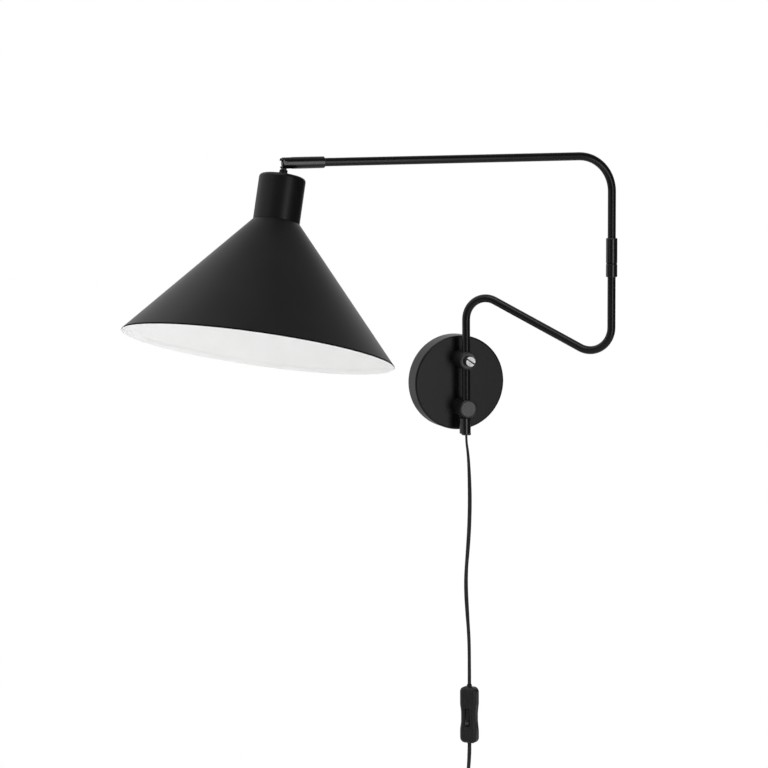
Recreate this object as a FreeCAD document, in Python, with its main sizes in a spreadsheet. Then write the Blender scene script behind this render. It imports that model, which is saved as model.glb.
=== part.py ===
import FreeCAD, Part
import math
import os
import Sketcher
from FreeCAD import Placement, Rotation, Vector

# Swing arm wall lamp. The wall is the plane y = 0, the lamp stands out towards -Y, +Z is up, and the
# origin is the middle of the round wall cover. Lengths are in millimetres and angles in degrees.

SIZES = {
    # round cover on the wall and the strap behind it
    "cover_diameter": 120.0,
    "cover_depth": 26.0,
    "cover_wall": 1.5,
    "cover_round": 2.4,
    "strap_width": 24.0,
    "strap_thick": 2.0,
    "strap_reach": 12.0,
    "wall_hole_spacing": 70.0,
    "wall_hole_diameter": 5.0,
    "cover_screw_diameter": 4.0,
    "cover_screw_reach": 7.0,
    # posts that carry the upright tube
    "post_spacing": 61.0,
    "post_diameter": 23.0,
    "post_length": 30.0,
    "post_edge": 0.8,
    "axis_reach": 48.0,
    "post_screw_diameter": 6.0,
    "post_screw_grip": 11.0,
    "post_screw_head": 11.0,
    "post_screw_head_height": 3.5,
    # slotted screw that nips the tube
    "clamp_diameter": 6.0,
    "clamp_head": 13.2,
    "clamp_head_height": 8.5,
    "clamp_edge": 0.6,
    "clamp_slot_width": 1.9,
    "clamp_slot_depth": 2.2,
    "clamp_slot_angle": -33.0,
    # bent tubes
    "tube_diameter": 10.0,
    "tube_wall": 1.0,
    "lower_reach": 198.4,
    "lower_swing": 47.1,
    "elbow_height": 125.8,
    "elbow_low": 34.8,
    "elbow_bend": 28.0,
    "lower_bend": 29.5,
    "upper_reach": 422.0,
    "upper_swing": 0.75,
    "upper_height": 291.8,
    "upper_bend": 44.0,
    # collar and cord bush at the foot of the lower tube
    "foot_collar_diameter": 14.2,
    "foot_collar_length": 20.0,
    "foot_collar_offset": 1.5,
    "bush_flange": 12.0,
    "bush_flange_thick": 2.0,
    "bush_sunk": 10.0,
    "bush_bore": 4.2,
    # joint between the two arms
    "mid_height": 159.0,
    "mid_collar_length": 16.0,
    "mid_sleeve_length": 31.2,
    "sleeve_diameter": 14.0,
    "sleeve_edge": 0.7,
    "washer_diameter": 13.2,
    "washer_thick": 0.6,
    "pin_sunk": 24.0,
    "pin_stand": 24.0,
    "pin_bore": 5.0,
    "groove_width": 3.2,
    "groove_depth": 0.8,
    "groove_middle": 16.0,
    "grub_diameter": 2.6,
    "grub_socket": 1.3,
    "grub_socket_depth": 1.2,
    # joint at the tip of the upper arm
    "end_collar_diameter": 13.9,
    "end_collar_length": 14.0,
    "fork_back": 35.0,
    "fork_front": 4.5,
    "fork_bore_floor": 14.0,
    "fork_slot_floor": 9.0,
    "fork_slot_width": 6.0,
    "fork_notch_height": 7.0,
    "fork_notch_depth": 2.3,
    "wire_hole": 4.0,
    "hinge_diameter": 3.0,
    "hinge_length": 13.2,
    "tongue_half_width": 2.6,
    "stub_shoulder": 8.6,
    "stub_diameter": 9.6,
    "stub_flange": 10.8,
    "stub_flange_thick": 4.4,
    "stub_thread": 8.0,
    "stub_thread_length": 14.0,
    "nut_across": 15.0,
    "nut_thick": 4.0,
    "shade_roll": 9.9,
    "shade_tilt": 12.3,
    # neck, lamp holder and cone
    "neck_drop": 16.0,
    "neck_diameter": 55.3,
    "neck_length": 54.2,
    "neck_wall": 1.5,
    "neck_round": 4.0,
    "cone_height": 152.6,
    "rim_diameter": 322.6,
    "cone_sheet": 0.8,
    "holder_diameter": 38.0,
    "holder_hub": 18.0,
    "holder_shoulder": 12.0,
    "holder_flange": 46.0,
    "holder_flange_thick": 2.0,
    "holder_skirt": 20.0,
    "holder_bore": 28.4,
    "holder_bore_depth": 44.0,
    "shell_wall": 0.6,
    "shell_length": 26.0,
    "shell_sunk": 12.0,
    "contact_diameter": 9.0,
    "contact_height": 5.0,
    "ring_diameter": 51.0,
    "ring_height": 8.0,
    # in-line switch
    "switch_length": 72.6,
    "switch_width": 23.0,
    "switch_waist": 20.2,
    "switch_waist_length": 10.0,
    "switch_bulge_length": 36.0,
    "switch_half_depth": 7.0,
    "switch_corner": 6.5,
    "switch_waist_round": 18.0,
    "switch_edge": 3.0,
    "switch_turn": 47.75,
    "switch_drop": 425.1,
    "switch_side": 3.7,
    "well_width": 7.0,
    "well_length": 23.0,
    "well_depth": 5.0,
    "well_drop": 2.8,
    "rocker_height": 4.6,
    "rocker_edge": 0.8,
    "rocker_axle": 2.0,
    "rocker_dish": 1.1,
    "rocker_lean": 7.0,
    "switch_screw_diameter": 2.5,
    "switch_screw_length": 9.0,
    "switch_screw_spacing": 54.0,
    "gland_diameter": 6.4,
    "gland_length": 3.0,
    "gland_stop": 0.8,
    # cord, coil and plug
    "cord_diameter": 4.4,
    "coil_pitch": 4.9,
    "coil_layer": 5.2,
    "coil_inner_radius": 17.5,
    "coil_half_turns": 7,
    "coil_drop": 538.0,
    "tie_width": 8.0,
    "tie_thick": 1.2,
    "relief_length": 22.0,
    "relief_neck": 6.4,
    "relief_base": 9.2,
    "plug_length": 36.0,
    "plug_width": 35.2,
    "plug_depth": 13.7,
    "plug_straight": 14.0,
    "plug_shoulder": 15.0,
    "plug_round": 4.0,
    "prong_diameter": 4.0,
    "prong_length": 19.0,
    "prong_spacing": 18.6,
    # fits
    "running_gap": 0.05,
    "seat_gap": 0.3,
}

doc = FreeCAD.newDocument("swing_arm_wall_lamp")
sheet = doc.addObject("Spreadsheet::Sheet", "Sizes")


class Size:
    """A number together with the sheet expression that it comes from."""

    def __init__(self, value, text):
        self.value = float(value)
        self.text = text

    def __add__(self, other):
        return Size(self.value + number(other), "(%s + %s)" % (self.text, wording(other)))

    def __radd__(self, other):
        return Size(number(other) + self.value, "(%s + %s)" % (wording(other), self.text))

    def __sub__(self, other):
        return Size(self.value - number(other), "(%s - %s)" % (self.text, wording(other)))

    def __rsub__(self, other):
        return Size(number(other) - self.value, "(%s - %s)" % (wording(other), self.text))

    def __mul__(self, other):
        return Size(self.value * number(other), "(%s * %s)" % (self.text, wording(other)))

    def __rmul__(self, other):
        return Size(number(other) * self.value, "(%s * %s)" % (wording(other), self.text))

    def __truediv__(self, other):
        return Size(self.value / number(other), "(%s / %s)" % (self.text, wording(other)))

    def __neg__(self):
        return Size(-self.value, "(0 - %s)" % self.text)


def number(size):
    """The plain number of a size or of a number."""
    return size.value if isinstance(size, Size) else float(size)


def wording(size):
    """The expression text of a size or of a number."""
    return size.text if isinstance(size, Size) else repr(float(size))


def root(size):
    """The square root of a size."""
    return Size(math.sqrt(size.value), "sqrt(%s)" % size.text)


class Sizes:
    """The driving sizes by name, each one a cell of the sheet."""

    def __init__(self, values):
        for row, (name, value) in enumerate(values.items(), start=1):
            cell = "B%d" % row
            sheet.set("A%d" % row, name)
            sheet.set(cell, str(value))
            sheet.setAlias(cell, name)
            setattr(self, name, Size(value, "Sizes." + name))


s = Sizes(SIZES)
doc.recompute()


# Helpers for placing, drawing and joining

def at(x=0, y=0, z=0, turn=Rotation()):
    """A placement at a point, turned if asked."""
    return Placement(Vector(number(x), number(y), number(z)), turn)


def turned(axis, degrees):
    """A placement that only turns, about one of the axes."""
    return Placement(Vector(), Rotation(axis, number(degrees)))


def bind(item, **sizes):
    """Ties properties of a document object to the sheet."""
    for name, size in sizes.items():
        setattr(item, name, number(size))
        if isinstance(size, Size):
            item.setExpression(name, size.text)
    return item


def pin(sketch, item, end, kind, size):
    """Holds a point of a sketch at a distance from the sketch's origin along one axis."""
    value = number(size)
    if abs(value) < 1e-9:
        axis = -2 if kind == "DistanceX" else -1
        sketch.addConstraint(Sketcher.Constraint("PointOnObject", item, end, axis))
        return
    if value > 0:
        row = sketch.addConstraint(Sketcher.Constraint(kind, -1, 1, item, end, value))
        text = wording(size)
    else:
        row = sketch.addConstraint(Sketcher.Constraint(kind, item, end, -1, 1, -value))
        text = wording(-size)
    if isinstance(size, Size):
        sketch.setExpression("Constraints[%d]" % row, text)


def hold(sketch, item, end, corner):
    """Holds a point of a sketch at a corner, given by two sizes."""
    pin(sketch, item, end, "DistanceX", corner[0])
    pin(sketch, item, end, "DistanceY", corner[1])


def rounding(before, corner, after, radius):
    """Start, middle and end of the arc that rounds a corner between two straight runs."""
    back = (before - corner).normalize()
    ahead = (after - corner).normalize()
    half = back.getAngle(ahead) / 2
    reach = radius / math.tan(half)
    inward = (back + ahead).normalize()
    middle = corner + inward * (radius / math.sin(half) - radius)
    return corner + back * reach, middle, corner + ahead * reach


def draw(sketch, corners, closed=True):
    """Draws straight runs through corners (x, y) or (x, y, round), each held by its sizes."""
    points = [Vector(number(c[0]), number(c[1]), 0) for c in corners]
    count = len(points)
    arrive = list(points)
    leave = list(points)
    middles = {}
    for i, corner in enumerate(corners):
        if len(corner) == 3:
            before = points[i - 1]
            after = points[(i + 1) % count]
            arrive[i], middles[i], leave[i] = rounding(before, points[i], after, number(corner[2]))
    runs = count if closed else count - 1
    lines = []
    for i in range(runs):
        lines.append(sketch.addGeometry(Part.LineSegment(leave[i], arrive[(i + 1) % count]), False))
    for i, corner in enumerate(corners):
        first = not closed and i == 0
        last = not closed and i == count - 1
        if i in middles:
            arc = sketch.addGeometry(Part.Arc(arrive[i], middles[i], leave[i]), False)
            first_end = sketch.getPoint(arc, 1)
            near, far = (1, 2) if first_end.isEqual(arrive[i], 1e-6) else (2, 1)
            sketch.addConstraint(Sketcher.Constraint("Tangent", lines[i - 1], 2, arc, near))
            sketch.addConstraint(Sketcher.Constraint("Tangent", arc, far, lines[i], 1))
            row = sketch.addConstraint(Sketcher.Constraint("Radius", arc, number(corner[2])))
            if isinstance(corner[2], Size):
                sketch.setExpression("Constraints[%d]" % row, corner[2].text)
            sharp = sketch.addGeometry(Part.Point(points[i]), True)
            sketch.addConstraint(Sketcher.Constraint("PointOnObject", sharp, 1, lines[i - 1]))
            sketch.addConstraint(Sketcher.Constraint("PointOnObject", sharp, 1, lines[i]))
            hold(sketch, sharp, 1, corner)
        elif last:
            hold(sketch, lines[-1], 2, corner)
        else:
            if not first:
                sketch.addConstraint(Sketcher.Constraint("Coincident", lines[i - 1], 2, lines[i], 1))
            hold(sketch, lines[i], 1, corner)
    return sketch


def new_body(label):
    """An empty body under its own label."""
    body = doc.addObject("PartDesign::Body", label)
    body.Label = label
    return body


def sketch_on(body, role, name):
    """A sketch on one of the body's own origin planes."""
    sketch = body.newObject("Sketcher::SketchObject", body.Name + "_" + name)
    plane = [item for item in body.Origin.OriginFeatures if item.Role == role][0]
    sketch.AttachmentSupport = [(plane, "")]
    sketch.MapMode = "FlatFace"
    return sketch


def turn_solid(label, outline, place=Placement()):
    """A turned piece: an outline of (radius, height) corners revolved about its own Z axis."""
    body = new_body(label)
    sketch = draw(sketch_on(body, "XZ_Plane", "outline"), outline)
    turning = body.newObject("PartDesign::Revolution", label + "_turning")
    turning.Profile = sketch
    turning.ReferenceAxis = (sketch, ["V_Axis"])
    turning.Angle = 360
    sketch.Visibility = False
    body.Placement = place
    doc.recompute()
    return body


def pad_solid(label, outline, height, place=Placement()):
    """A flat piece: an outline in its own XY plane raised along Z."""
    body = new_body(label)
    sketch = draw(sketch_on(body, "XY_Plane", "outline"), outline)
    pad = body.newObject("PartDesign::Pad", label + "_pad")
    pad.Profile = sketch
    bind(pad, Length=height)
    body.Placement = place
    doc.recompute()
    return body


def pipe_solid(label, route, place):
    """A bent tube: a ring carried along a route in its own XZ plane, which starts at the origin."""
    body = new_body(label)
    ring = sketch_on(body, "XY_Plane", "ring")
    for radius in (s.tube_diameter / 2, s.tube_diameter / 2 - s.tube_wall):
        circle = sketch_circle(ring, radius)
        ring.addConstraint(Sketcher.Constraint("Coincident", circle, 3, -1, 1))
    path = draw(sketch_on(body, "XZ_Plane", "route"), route, closed=False)
    doc.recompute()
    pipe = body.newObject("PartDesign::AdditivePipe", label + "_pipe")
    pipe.Profile = ring
    pipe.Spine = (path, ["Edge%d" % (i + 1) for i in range(len(path.Shape.Edges))])
    body.Placement = place
    doc.recompute()
    return body


def sketch_circle(sketch, radius):
    """A circle of a given size, whose middle is still free."""
    circle = sketch.addGeometry(Part.Circle(Vector(), Vector(0, 0, 1), number(radius)), False)
    row = sketch.addConstraint(Sketcher.Constraint("Radius", circle, number(radius)))
    sketch.setExpression("Constraints[%d]" % row, radius.text)
    return circle


def rod(label, radius, length, place):
    """A round rod that starts at its placement and runs along the placement's Z."""
    item = doc.addObject("Part::Cylinder", label)
    bind(item, Radius=radius, Height=length)
    item.Placement = place
    return item


def block(label, long, wide, high, place):
    """A box centred on its placement."""
    item = doc.addObject("Part::Box", label)
    bind(item, Length=long, Width=wide, Height=high)
    item.Placement = place * at(-long / 2, -wide / 2, -high / 2)
    return item


def cut(label, base, *tools):
    """A piece with one or more shapes taken out of it."""
    tool = tools[0] if len(tools) == 1 else join(label + "_tools", *tools)
    item = doc.addObject("Part::Cut", label)
    item.Base = base
    item.Tool = tool
    item.Label = label
    doc.recompute()
    return item


def join(label, *items):
    """Several shapes made one."""
    item = doc.addObject("Part::MultiFuse", label)
    item.Shapes = list(items)
    item.Label = label
    doc.recompute()
    return item


def group(label, *items):
    """Several separate solids kept as one node."""
    item = doc.addObject("Part::Compound", label)
    item.Links = list(items)
    item.Label = label
    doc.recompute()
    return item


def shaped(label, shape):
    """A piece whose shape is worked out here, such as a cord."""
    item = doc.addObject("Part::Feature", label)
    item.Label = label
    item.Shape = shape
    return item


# Frames of the sub-assemblies, at rest as photographed

X_AXIS = Vector(1, 0, 0)
Y_AXIS = Vector(0, 1, 0)
Z_AXIS = Vector(0, 0, 1)

# WALL has Z out of the wall and Y up
WALL = turned(X_AXIS, 90)
LOWER = at(0, -s.axis_reach, 0) * turned(Z_AXIS, -s.lower_swing)
UPPER = at(*(LOWER * at(s.lower_reach)).Base) * turned(Z_AXIS, 180 + s.upper_swing)
TIP = UPPER * at(s.upper_reach, 0, s.upper_height)
SWIVEL = TIP * turned(X_AXIS, s.shade_roll)
SHADE = SWIVEL * turned(Y_AXIS, -s.shade_tilt)
# ALONG lays a turned piece's axis along the arm
ALONG = turned(Y_AXIS, 90)

tube_radius = s.tube_diameter / 2
bore_radius = tube_radius - s.tube_wall
cover_radius = s.cover_diameter / 2
post_radius = s.post_diameter / 2
post_end = s.cover_depth + s.post_length
half_spacing = s.post_spacing / 2
sleeve_radius = s.sleeve_diameter / 2
tube_hole = tube_radius + s.running_gap
pin_radius = bore_radius - s.running_gap


# Wall group

def make_cover():
    inner = cover_radius - s.cover_wall
    floor = s.cover_depth - s.cover_wall
    cup = turn_solid("cover_cup", [
        (cover_radius, 0),
        (cover_radius, s.cover_depth, s.cover_round),
        (0, s.cover_depth),
        (0, floor),
        (inner, floor, s.cover_round - s.cover_wall),
        (inner, 0),
    ], WALL)
    hole = s.post_screw_diameter / 2 + s.running_gap
    tools = []
    for name, side in (("upper", 1), ("lower", -1)):
        place = WALL * at(0, side * half_spacing, 0)
        tools.append(rod("cover_hole_" + name, hole, s.cover_depth + s.cover_wall, place))
    radial = s.cover_screw_diameter / 2 + s.running_gap
    down = at(0, -s.cover_screw_reach, 0) * turned(X_AXIS, 180)
    tools.append(rod("cover_hole_side", radial, cover_radius + s.cover_wall, down))
    return cut("wall_cover", cup, *tools)


def strap_height():
    """How far the strap's folded ends may reach inside the round cover."""
    inner = cover_radius - s.cover_wall
    return root(inner * inner - s.strap_width * s.strap_width / 4) - s.seat_gap


def make_bracket():
    top = strap_height()
    thick = s.strap_thick
    reach = s.strap_reach
    # the strap's own X points out of the wall, its Y up and its Z across
    across = at(s.strap_width / 2) * WALL * turned(Y_AXIS, -90)
    strap = pad_solid("strap", [
        (0, -top),
        (reach, -top),
        (reach, thick - top),
        (thick, thick - top),
        (thick, top - thick),
        (reach, top - thick),
        (reach, top),
        (0, top),
    ], s.strap_width, across)
    tools = []
    for name, side in (("upper", 1), ("lower", -1)):
        place = WALL * at(0, side * s.wall_hole_spacing / 2, -s.strap_thick)
        tools.append(rod("wall_hole_" + name, s.wall_hole_diameter / 2, 3 * s.strap_thick, place))
    thread = s.cover_screw_diameter / 2 + s.running_gap
    ear = at(0, -s.cover_screw_reach, s.strap_thick * 2 - top) * turned(X_AXIS, 180)
    tools.append(rod("ear_hole", thread, 3 * s.strap_thick, ear))
    return cut("wall_bracket", strap, *tools)


def make_cover_screw():
    """A headless screw through the underside of the cover into the strap's folded end."""
    end = cover_radius - s.seat_gap
    tip = strap_height() - 2 * s.strap_thick
    place = at(0, -s.cover_screw_reach, -end)
    return set_screw("cover_screw", s.cover_screw_diameter / 2, end - tip, place)


def make_post(label, side, drilled):
    """A post with the tube's hole across it, and a threaded hole in its end if drilled."""
    edge = s.post_edge
    place = WALL * at(0, side * half_spacing, 0)
    screw = s.post_screw_diameter / 2 + s.running_gap
    depth = s.cover_depth + s.post_screw_grip + s.seat_gap
    blank = turn_solid(label + "_blank", [
        (screw, s.cover_depth),
        (post_radius, s.cover_depth),
        (post_radius, post_end - edge),
        (post_radius - edge, post_end),
        (0, post_end),
        (0, depth),
        (screw, depth),
    ], place)
    tools = [rod(label + "_tube_hole", tube_hole, 2 * s.post_diameter,
                 at(0, -s.axis_reach, side * half_spacing - s.post_diameter))]
    if drilled:
        tools.append(rod(label + "_thread", s.clamp_diameter / 2 + s.running_gap, post_end - s.axis_reach,
                         place * at(0, 0, s.axis_reach)))
    return cut(label, blank, *tools)


def make_post_screws():
    floor = s.cover_depth - s.cover_wall
    screws = []
    for name, side in (("upper", 1), ("lower", -1)):
        screws.append(turn_solid("post_screw_" + name, [
            (0, floor - s.post_screw_head_height),
            (s.post_screw_head / 2, floor - s.post_screw_head_height),
            (s.post_screw_head / 2, floor),
            (s.post_screw_diameter / 2, floor),
            (s.post_screw_diameter / 2, s.cover_depth + s.post_screw_grip),
            (0, s.cover_depth + s.post_screw_grip),
        ], WALL * at(0, side * half_spacing, 0)))
    return group("post_screws", *screws)


def make_clamp_screw():
    place = WALL * at(0, half_spacing, 0)
    head_end = post_end + s.clamp_head_height
    edge = s.clamp_edge
    head = s.clamp_head / 2
    tip = s.axis_reach + tube_radius + s.seat_gap
    blank = turn_solid("clamp_blank", [
        (0, tip),
        (s.clamp_diameter / 2, tip),
        (s.clamp_diameter / 2, post_end),
        (head, post_end),
        (head, head_end - edge),
        (head - edge, head_end),
        (0, head_end),
    ], place)
    slot = block("clamp_slot", s.clamp_head * 2, s.clamp_slot_width, s.clamp_slot_depth * 2,
                 place * at(0, 0, head_end) * turned(Z_AXIS, s.clamp_slot_angle))
    return cut("clamp_screw", blank, slot)


# Lower arm

collar_top = half_spacing + post_radius + s.seat_gap
lower_foot = collar_top + s.foot_collar_length


def make_lower_arm():
    blank = pipe_solid("lower_tube", [
        (0, 0),
        (0, s.elbow_height + lower_foot, s.elbow_bend),
        (s.lower_reach, s.elbow_low + lower_foot, s.lower_bend),
        (s.lower_reach, s.mid_height + lower_foot),
    ], LOWER * at(0, 0, -lower_foot))
    return cut("lower_arm", blank, grub_hole("lower_grub_hole", foot_grub_place()))


def make_foot_collar():
    """A collar whose hole is off its middle, so that one side is thicker."""
    edge = s.sleeve_edge / 2
    outer = s.foot_collar_diameter / 2
    blank = turn_solid("foot_collar_blank", [
        (0, -lower_foot),
        (outer - edge, -lower_foot),
        (outer, edge - lower_foot),
        (outer, -collar_top - edge),
        (outer - edge, -collar_top),
        (0, -collar_top),
    ], at(-s.foot_collar_offset, -s.axis_reach, 0))
    bore = rod("foot_collar_bore", tube_hole, 2 * s.foot_collar_length,
               at(0, -s.axis_reach, -lower_foot - s.foot_collar_length / 2))
    return cut("foot_collar", blank, bore, grub_hole("foot_grub_hole", foot_grub_place()))


def foot_grub_place():
    """The set screw of the collar sits on the side that faces the wall."""
    return at(0, s.foot_collar_diameter / 2 - s.axis_reach, -lower_foot + s.foot_collar_length / 2) * WALL


def make_foot_grub():
    through = s.foot_collar_diameter / 2 - bore_radius
    return set_screw("foot_grub", s.grub_diameter / 2, through - 2 * s.seat_gap,
                     foot_grub_place() * at(0, 0, 2 * s.seat_gap))


def make_cord_bush():
    """A bush in the end of the tube, with a flange under the collar."""
    bore = s.bush_bore / 2
    return turn_solid("cord_bush", [
        (bore, -lower_foot - s.bush_flange_thick),
        (s.bush_flange / 2, -lower_foot - s.bush_flange_thick, s.sleeve_edge),
        (s.bush_flange / 2, -lower_foot),
        (pin_radius, -lower_foot),
        (pin_radius, s.bush_sunk - lower_foot),
        (bore, s.bush_sunk - lower_foot),
    ], at(0, -s.axis_reach, 0))


def hexagon(across):
    """Corners of a hexagon of a given size across its flats."""
    corner = across / math.sqrt(3)
    angles = [math.radians(60 * i) for i in range(6)]
    return [(corner * math.cos(angle), corner * math.sin(angle)) for angle in angles]


def set_screw(label, radius, length, place):
    """A headless screw with a hexagon socket in its outer end, which lies at the placement."""
    edge = radius / 4
    blank = turn_solid(label + "_blank", [
        (0, 0),
        (radius, 0),
        (radius, length - edge),
        (radius - edge, length),
        (0, length),
    ], place)
    socket = pad_solid(label + "_socket", hexagon(s.grub_socket), s.grub_socket_depth, place)
    return cut(label, blank, socket)


def grub_hole(label, place):
    """The hole that a set screw is driven into, as far as the middle of the tube."""
    return rod(label, s.grub_diameter / 2 + s.running_gap, sleeve_radius, place)


def sleeve(label, bore, outer, low, high, place):
    """A plain sleeve with its outer edges taken off."""
    edge = s.sleeve_edge
    return turn_solid(label, [
        (bore, low),
        (outer - edge, low),
        (outer, low + edge),
        (outer, high - edge),
        (outer - edge, high),
        (bore, high),
    ], place)


def make_mid_collar():
    return sleeve("mid_collar", tube_hole, sleeve_radius, s.mid_height - s.mid_collar_length, s.mid_height,
                  LOWER * at(s.lower_reach))


def grooved_pin(label, low, high, groove, place):
    """A hollow pin with a groove for a set screw."""
    depth = pin_radius - s.groove_depth
    return turn_solid(label, [
        (s.pin_bore / 2, low),
        (pin_radius, low),
        (pin_radius, groove - s.groove_width / 2),
        (depth, groove - s.groove_width / 2),
        (depth, groove + s.groove_width / 2),
        (pin_radius, groove + s.groove_width / 2),
        (pin_radius, high),
        (s.pin_bore / 2, high),
    ], place)


washer_top = s.mid_height + s.washer_thick
upper_foot = washer_top + s.running_gap


def make_mid_pin():
    return grooved_pin("mid_pin", s.mid_height - s.pin_sunk, upper_foot + s.pin_stand,
                       upper_foot + s.groove_middle, LOWER * at(s.lower_reach))


def make_mid_washer():
    return turn_solid("mid_washer", [
        (bore_radius, s.mid_height),
        (s.washer_diameter / 2, s.mid_height),
        (s.washer_diameter / 2, washer_top),
        (bore_radius, washer_top),
    ], LOWER * at(s.lower_reach))


# Upper arm

def make_upper_arm():
    blank = pipe_solid("upper_tube", [
        (0, 0),
        (0, s.upper_height - upper_foot, s.upper_bend),
        (s.upper_reach - s.fork_back, s.upper_height - upper_foot),
    ], UPPER * at(0, 0, upper_foot))
    return cut("upper_arm", blank, grub_hole("upper_grub_hole", mid_grub_place()))


def mid_grub_place():
    """The set screw of the joint sits on the side of the sleeve that faces the wall."""
    return at(*(UPPER * at(0, 0, upper_foot + s.groove_middle)).Base) * at(0, sleeve_radius, 0) * WALL


def make_mid_sleeve():
    blank = sleeve("mid_sleeve_blank", tube_hole, sleeve_radius, upper_foot, upper_foot + s.mid_sleeve_length,
                   UPPER)
    return cut("mid_sleeve", blank, grub_hole("mid_grub_hole", mid_grub_place()))


def grub_length():
    """From the outside of a sleeve to just above the floor of the pin's groove."""
    return sleeve_radius - (pin_radius - s.groove_depth) - s.seat_gap


def make_mid_grub():
    return set_screw("mid_grub", s.grub_diameter / 2, grub_length() - s.seat_gap,
                     mid_grub_place() * at(0, 0, s.seat_gap))


def make_end_collar():
    """A collar at the tip of the tube, square where the swivel meets it."""
    back = s.fork_back + s.end_collar_length
    outer = s.end_collar_diameter / 2
    return turn_solid("end_collar", [
        (tube_hole, -back),
        (outer - s.sleeve_edge, -back),
        (outer, s.sleeve_edge - back),
        (outer, -s.fork_back),
        (tube_hole, -s.fork_back),
    ], TIP * ALONG)


swivel_back = s.fork_back - s.seat_gap / 2
axle_tip = s.fork_bore_floor + s.seat_gap
axle_groove = s.fork_back - s.groove_middle


def make_end_axle():
    return grooved_pin("end_axle", -s.fork_back - s.pin_sunk, -axle_tip, -axle_groove, TIP * ALONG)


# Swivel

def make_swivel_fork():
    edge = s.sleeve_edge
    web = s.fork_slot_floor - s.seat_gap
    blank = turn_solid("fork_blank", [
        (bore_radius, -swivel_back),
        (sleeve_radius, -swivel_back),
        (sleeve_radius, s.fork_front - edge),
        (sleeve_radius - edge, s.fork_front),
        (0, s.fork_front),
        (0, -web),
        (s.wire_hole / 2, -web),
        (s.wire_hole / 2, -s.fork_bore_floor),
        (bore_radius, -s.fork_bore_floor),
    ], SWIVEL * ALONG)
    slot = block("fork_slot", s.fork_slot_floor * 2, s.fork_slot_width, s.sleeve_diameter * 2,
                 SWIVEL)
    mouth = block("fork_mouth", s.fork_front * 4, s.fork_slot_width, s.sleeve_diameter * 2,
                  SWIVEL * at(s.fork_front * 2))
    notch = block("fork_notch", s.fork_notch_depth * 2, s.sleeve_diameter * 2, s.fork_notch_height,
                  SWIVEL * at(s.fork_front))
    hinge = rod("fork_hinge_hole", s.hinge_diameter / 2 + s.running_gap, s.sleeve_diameter * 2,
                SWIVEL * at(0, s.sleeve_diameter) * WALL)
    grub = grub_hole("fork_grub_hole", swivel_grub_place())
    return cut("swivel_fork", blank, slot, mouth, notch, hinge, grub)


def swivel_grub_place():
    """The set screw of the swivel sits on the side of the sleeve that faces the wall."""
    return SWIVEL * at(-axle_groove, -sleeve_radius, 0) * turned(X_AXIS, -90)


def make_swivel_grub():
    return set_screw("swivel_grub", s.grub_diameter / 2, grub_length() - s.seat_gap,
                     swivel_grub_place() * at(0, 0, s.seat_gap))


def make_hinge_pin():
    return rod("hinge_pin", s.hinge_diameter / 2, s.hinge_length, SWIVEL * at(0, s.hinge_length / 2) * WALL)


# Shade group, heights measured from the hinge and negative downwards

neck_top = -s.neck_drop
neck_foot = neck_top - s.neck_length
neck_radius = s.neck_diameter / 2
stub_end = neck_top - s.neck_wall - s.stub_thread_length
nut_top = neck_top - s.neck_wall


def make_hinge_stub():
    seat = neck_top + s.stub_flange_thick
    thread = s.stub_thread / 2
    stub = turn_solid("stub_turned", [
        (0, -s.stub_shoulder),
        (s.stub_diameter / 2, -s.stub_shoulder),
        (s.stub_diameter / 2, seat),
        (s.stub_flange / 2, seat),
        (s.stub_flange / 2, neck_top),
        (thread, neck_top),
        (thread, stub_end),
        (0, stub_end),
    ], SHADE)
    thick = s.fork_slot_width - 4 * s.running_gap
    flat = block("tongue_flat", s.tongue_half_width * 2, thick, s.stub_shoulder,
                 SHADE * at(0, 0, -s.stub_shoulder / 2))
    head = rod("tongue_head", s.tongue_half_width, thick, SHADE * at(0, thick / 2) * WALL)
    whole = join("stub_whole", stub, flat, head)
    eye = rod("tongue_eye", s.hinge_diameter / 2 + s.running_gap, s.sleeve_diameter * 2,
              SHADE * at(0, s.sleeve_diameter) * WALL)
    wire = rod("stub_wire_hole", s.wire_hole / 2, s.neck_length,
               SHADE * at(0, 0, -s.stub_shoulder - s.neck_length))
    return cut("hinge_stub", whole, eye, wire)


def make_stub_nut():
    seat = SHADE * at(0, 0, nut_top - s.nut_thick)
    blank = pad_solid("nut_blank", hexagon(s.nut_across), s.nut_thick, seat)
    hole = rod("nut_thread", s.stub_thread / 2 + s.running_gap, s.nut_thick * 3,
               SHADE * at(0, 0, nut_top - 2 * s.nut_thick))
    return cut("stub_nut", blank, hole)


def make_neck_cup():
    hole = s.stub_thread / 2 + s.running_gap
    inner = neck_radius - s.neck_wall
    return turn_solid("neck_cup", [
        (hole, neck_top),
        (neck_radius, neck_top, s.neck_round),
        (neck_radius, neck_foot),
        (inner, neck_foot),
        (inner, neck_top - s.neck_wall, s.neck_round - s.neck_wall),
        (hole, neck_top - s.neck_wall),
    ], SHADE)


holder_top = nut_top - s.nut_thick
holder_foot = neck_foot - s.cone_sheet - s.holder_skirt
holder_floor = holder_foot + s.holder_bore_depth
holder_radius = s.holder_diameter / 2


def make_lamp_holder():
    thread = s.stub_thread / 2 + s.running_gap
    bore = s.holder_bore / 2
    well = stub_end - s.seat_gap
    return turn_solid("lamp_holder", [
        (thread, holder_top),
        (s.holder_hub / 2, holder_top),
        (holder_radius, holder_top - s.holder_shoulder),
        (holder_radius, neck_foot + s.holder_flange_thick),
        (s.holder_flange / 2, neck_foot + s.holder_flange_thick),
        (s.holder_flange / 2, neck_foot),
        (holder_radius, neck_foot),
        (holder_radius, holder_foot),
        (bore, holder_foot),
        (bore, holder_floor),
        (0, holder_floor),
        (0, well),
        (thread, well),
    ], SHADE)


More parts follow.
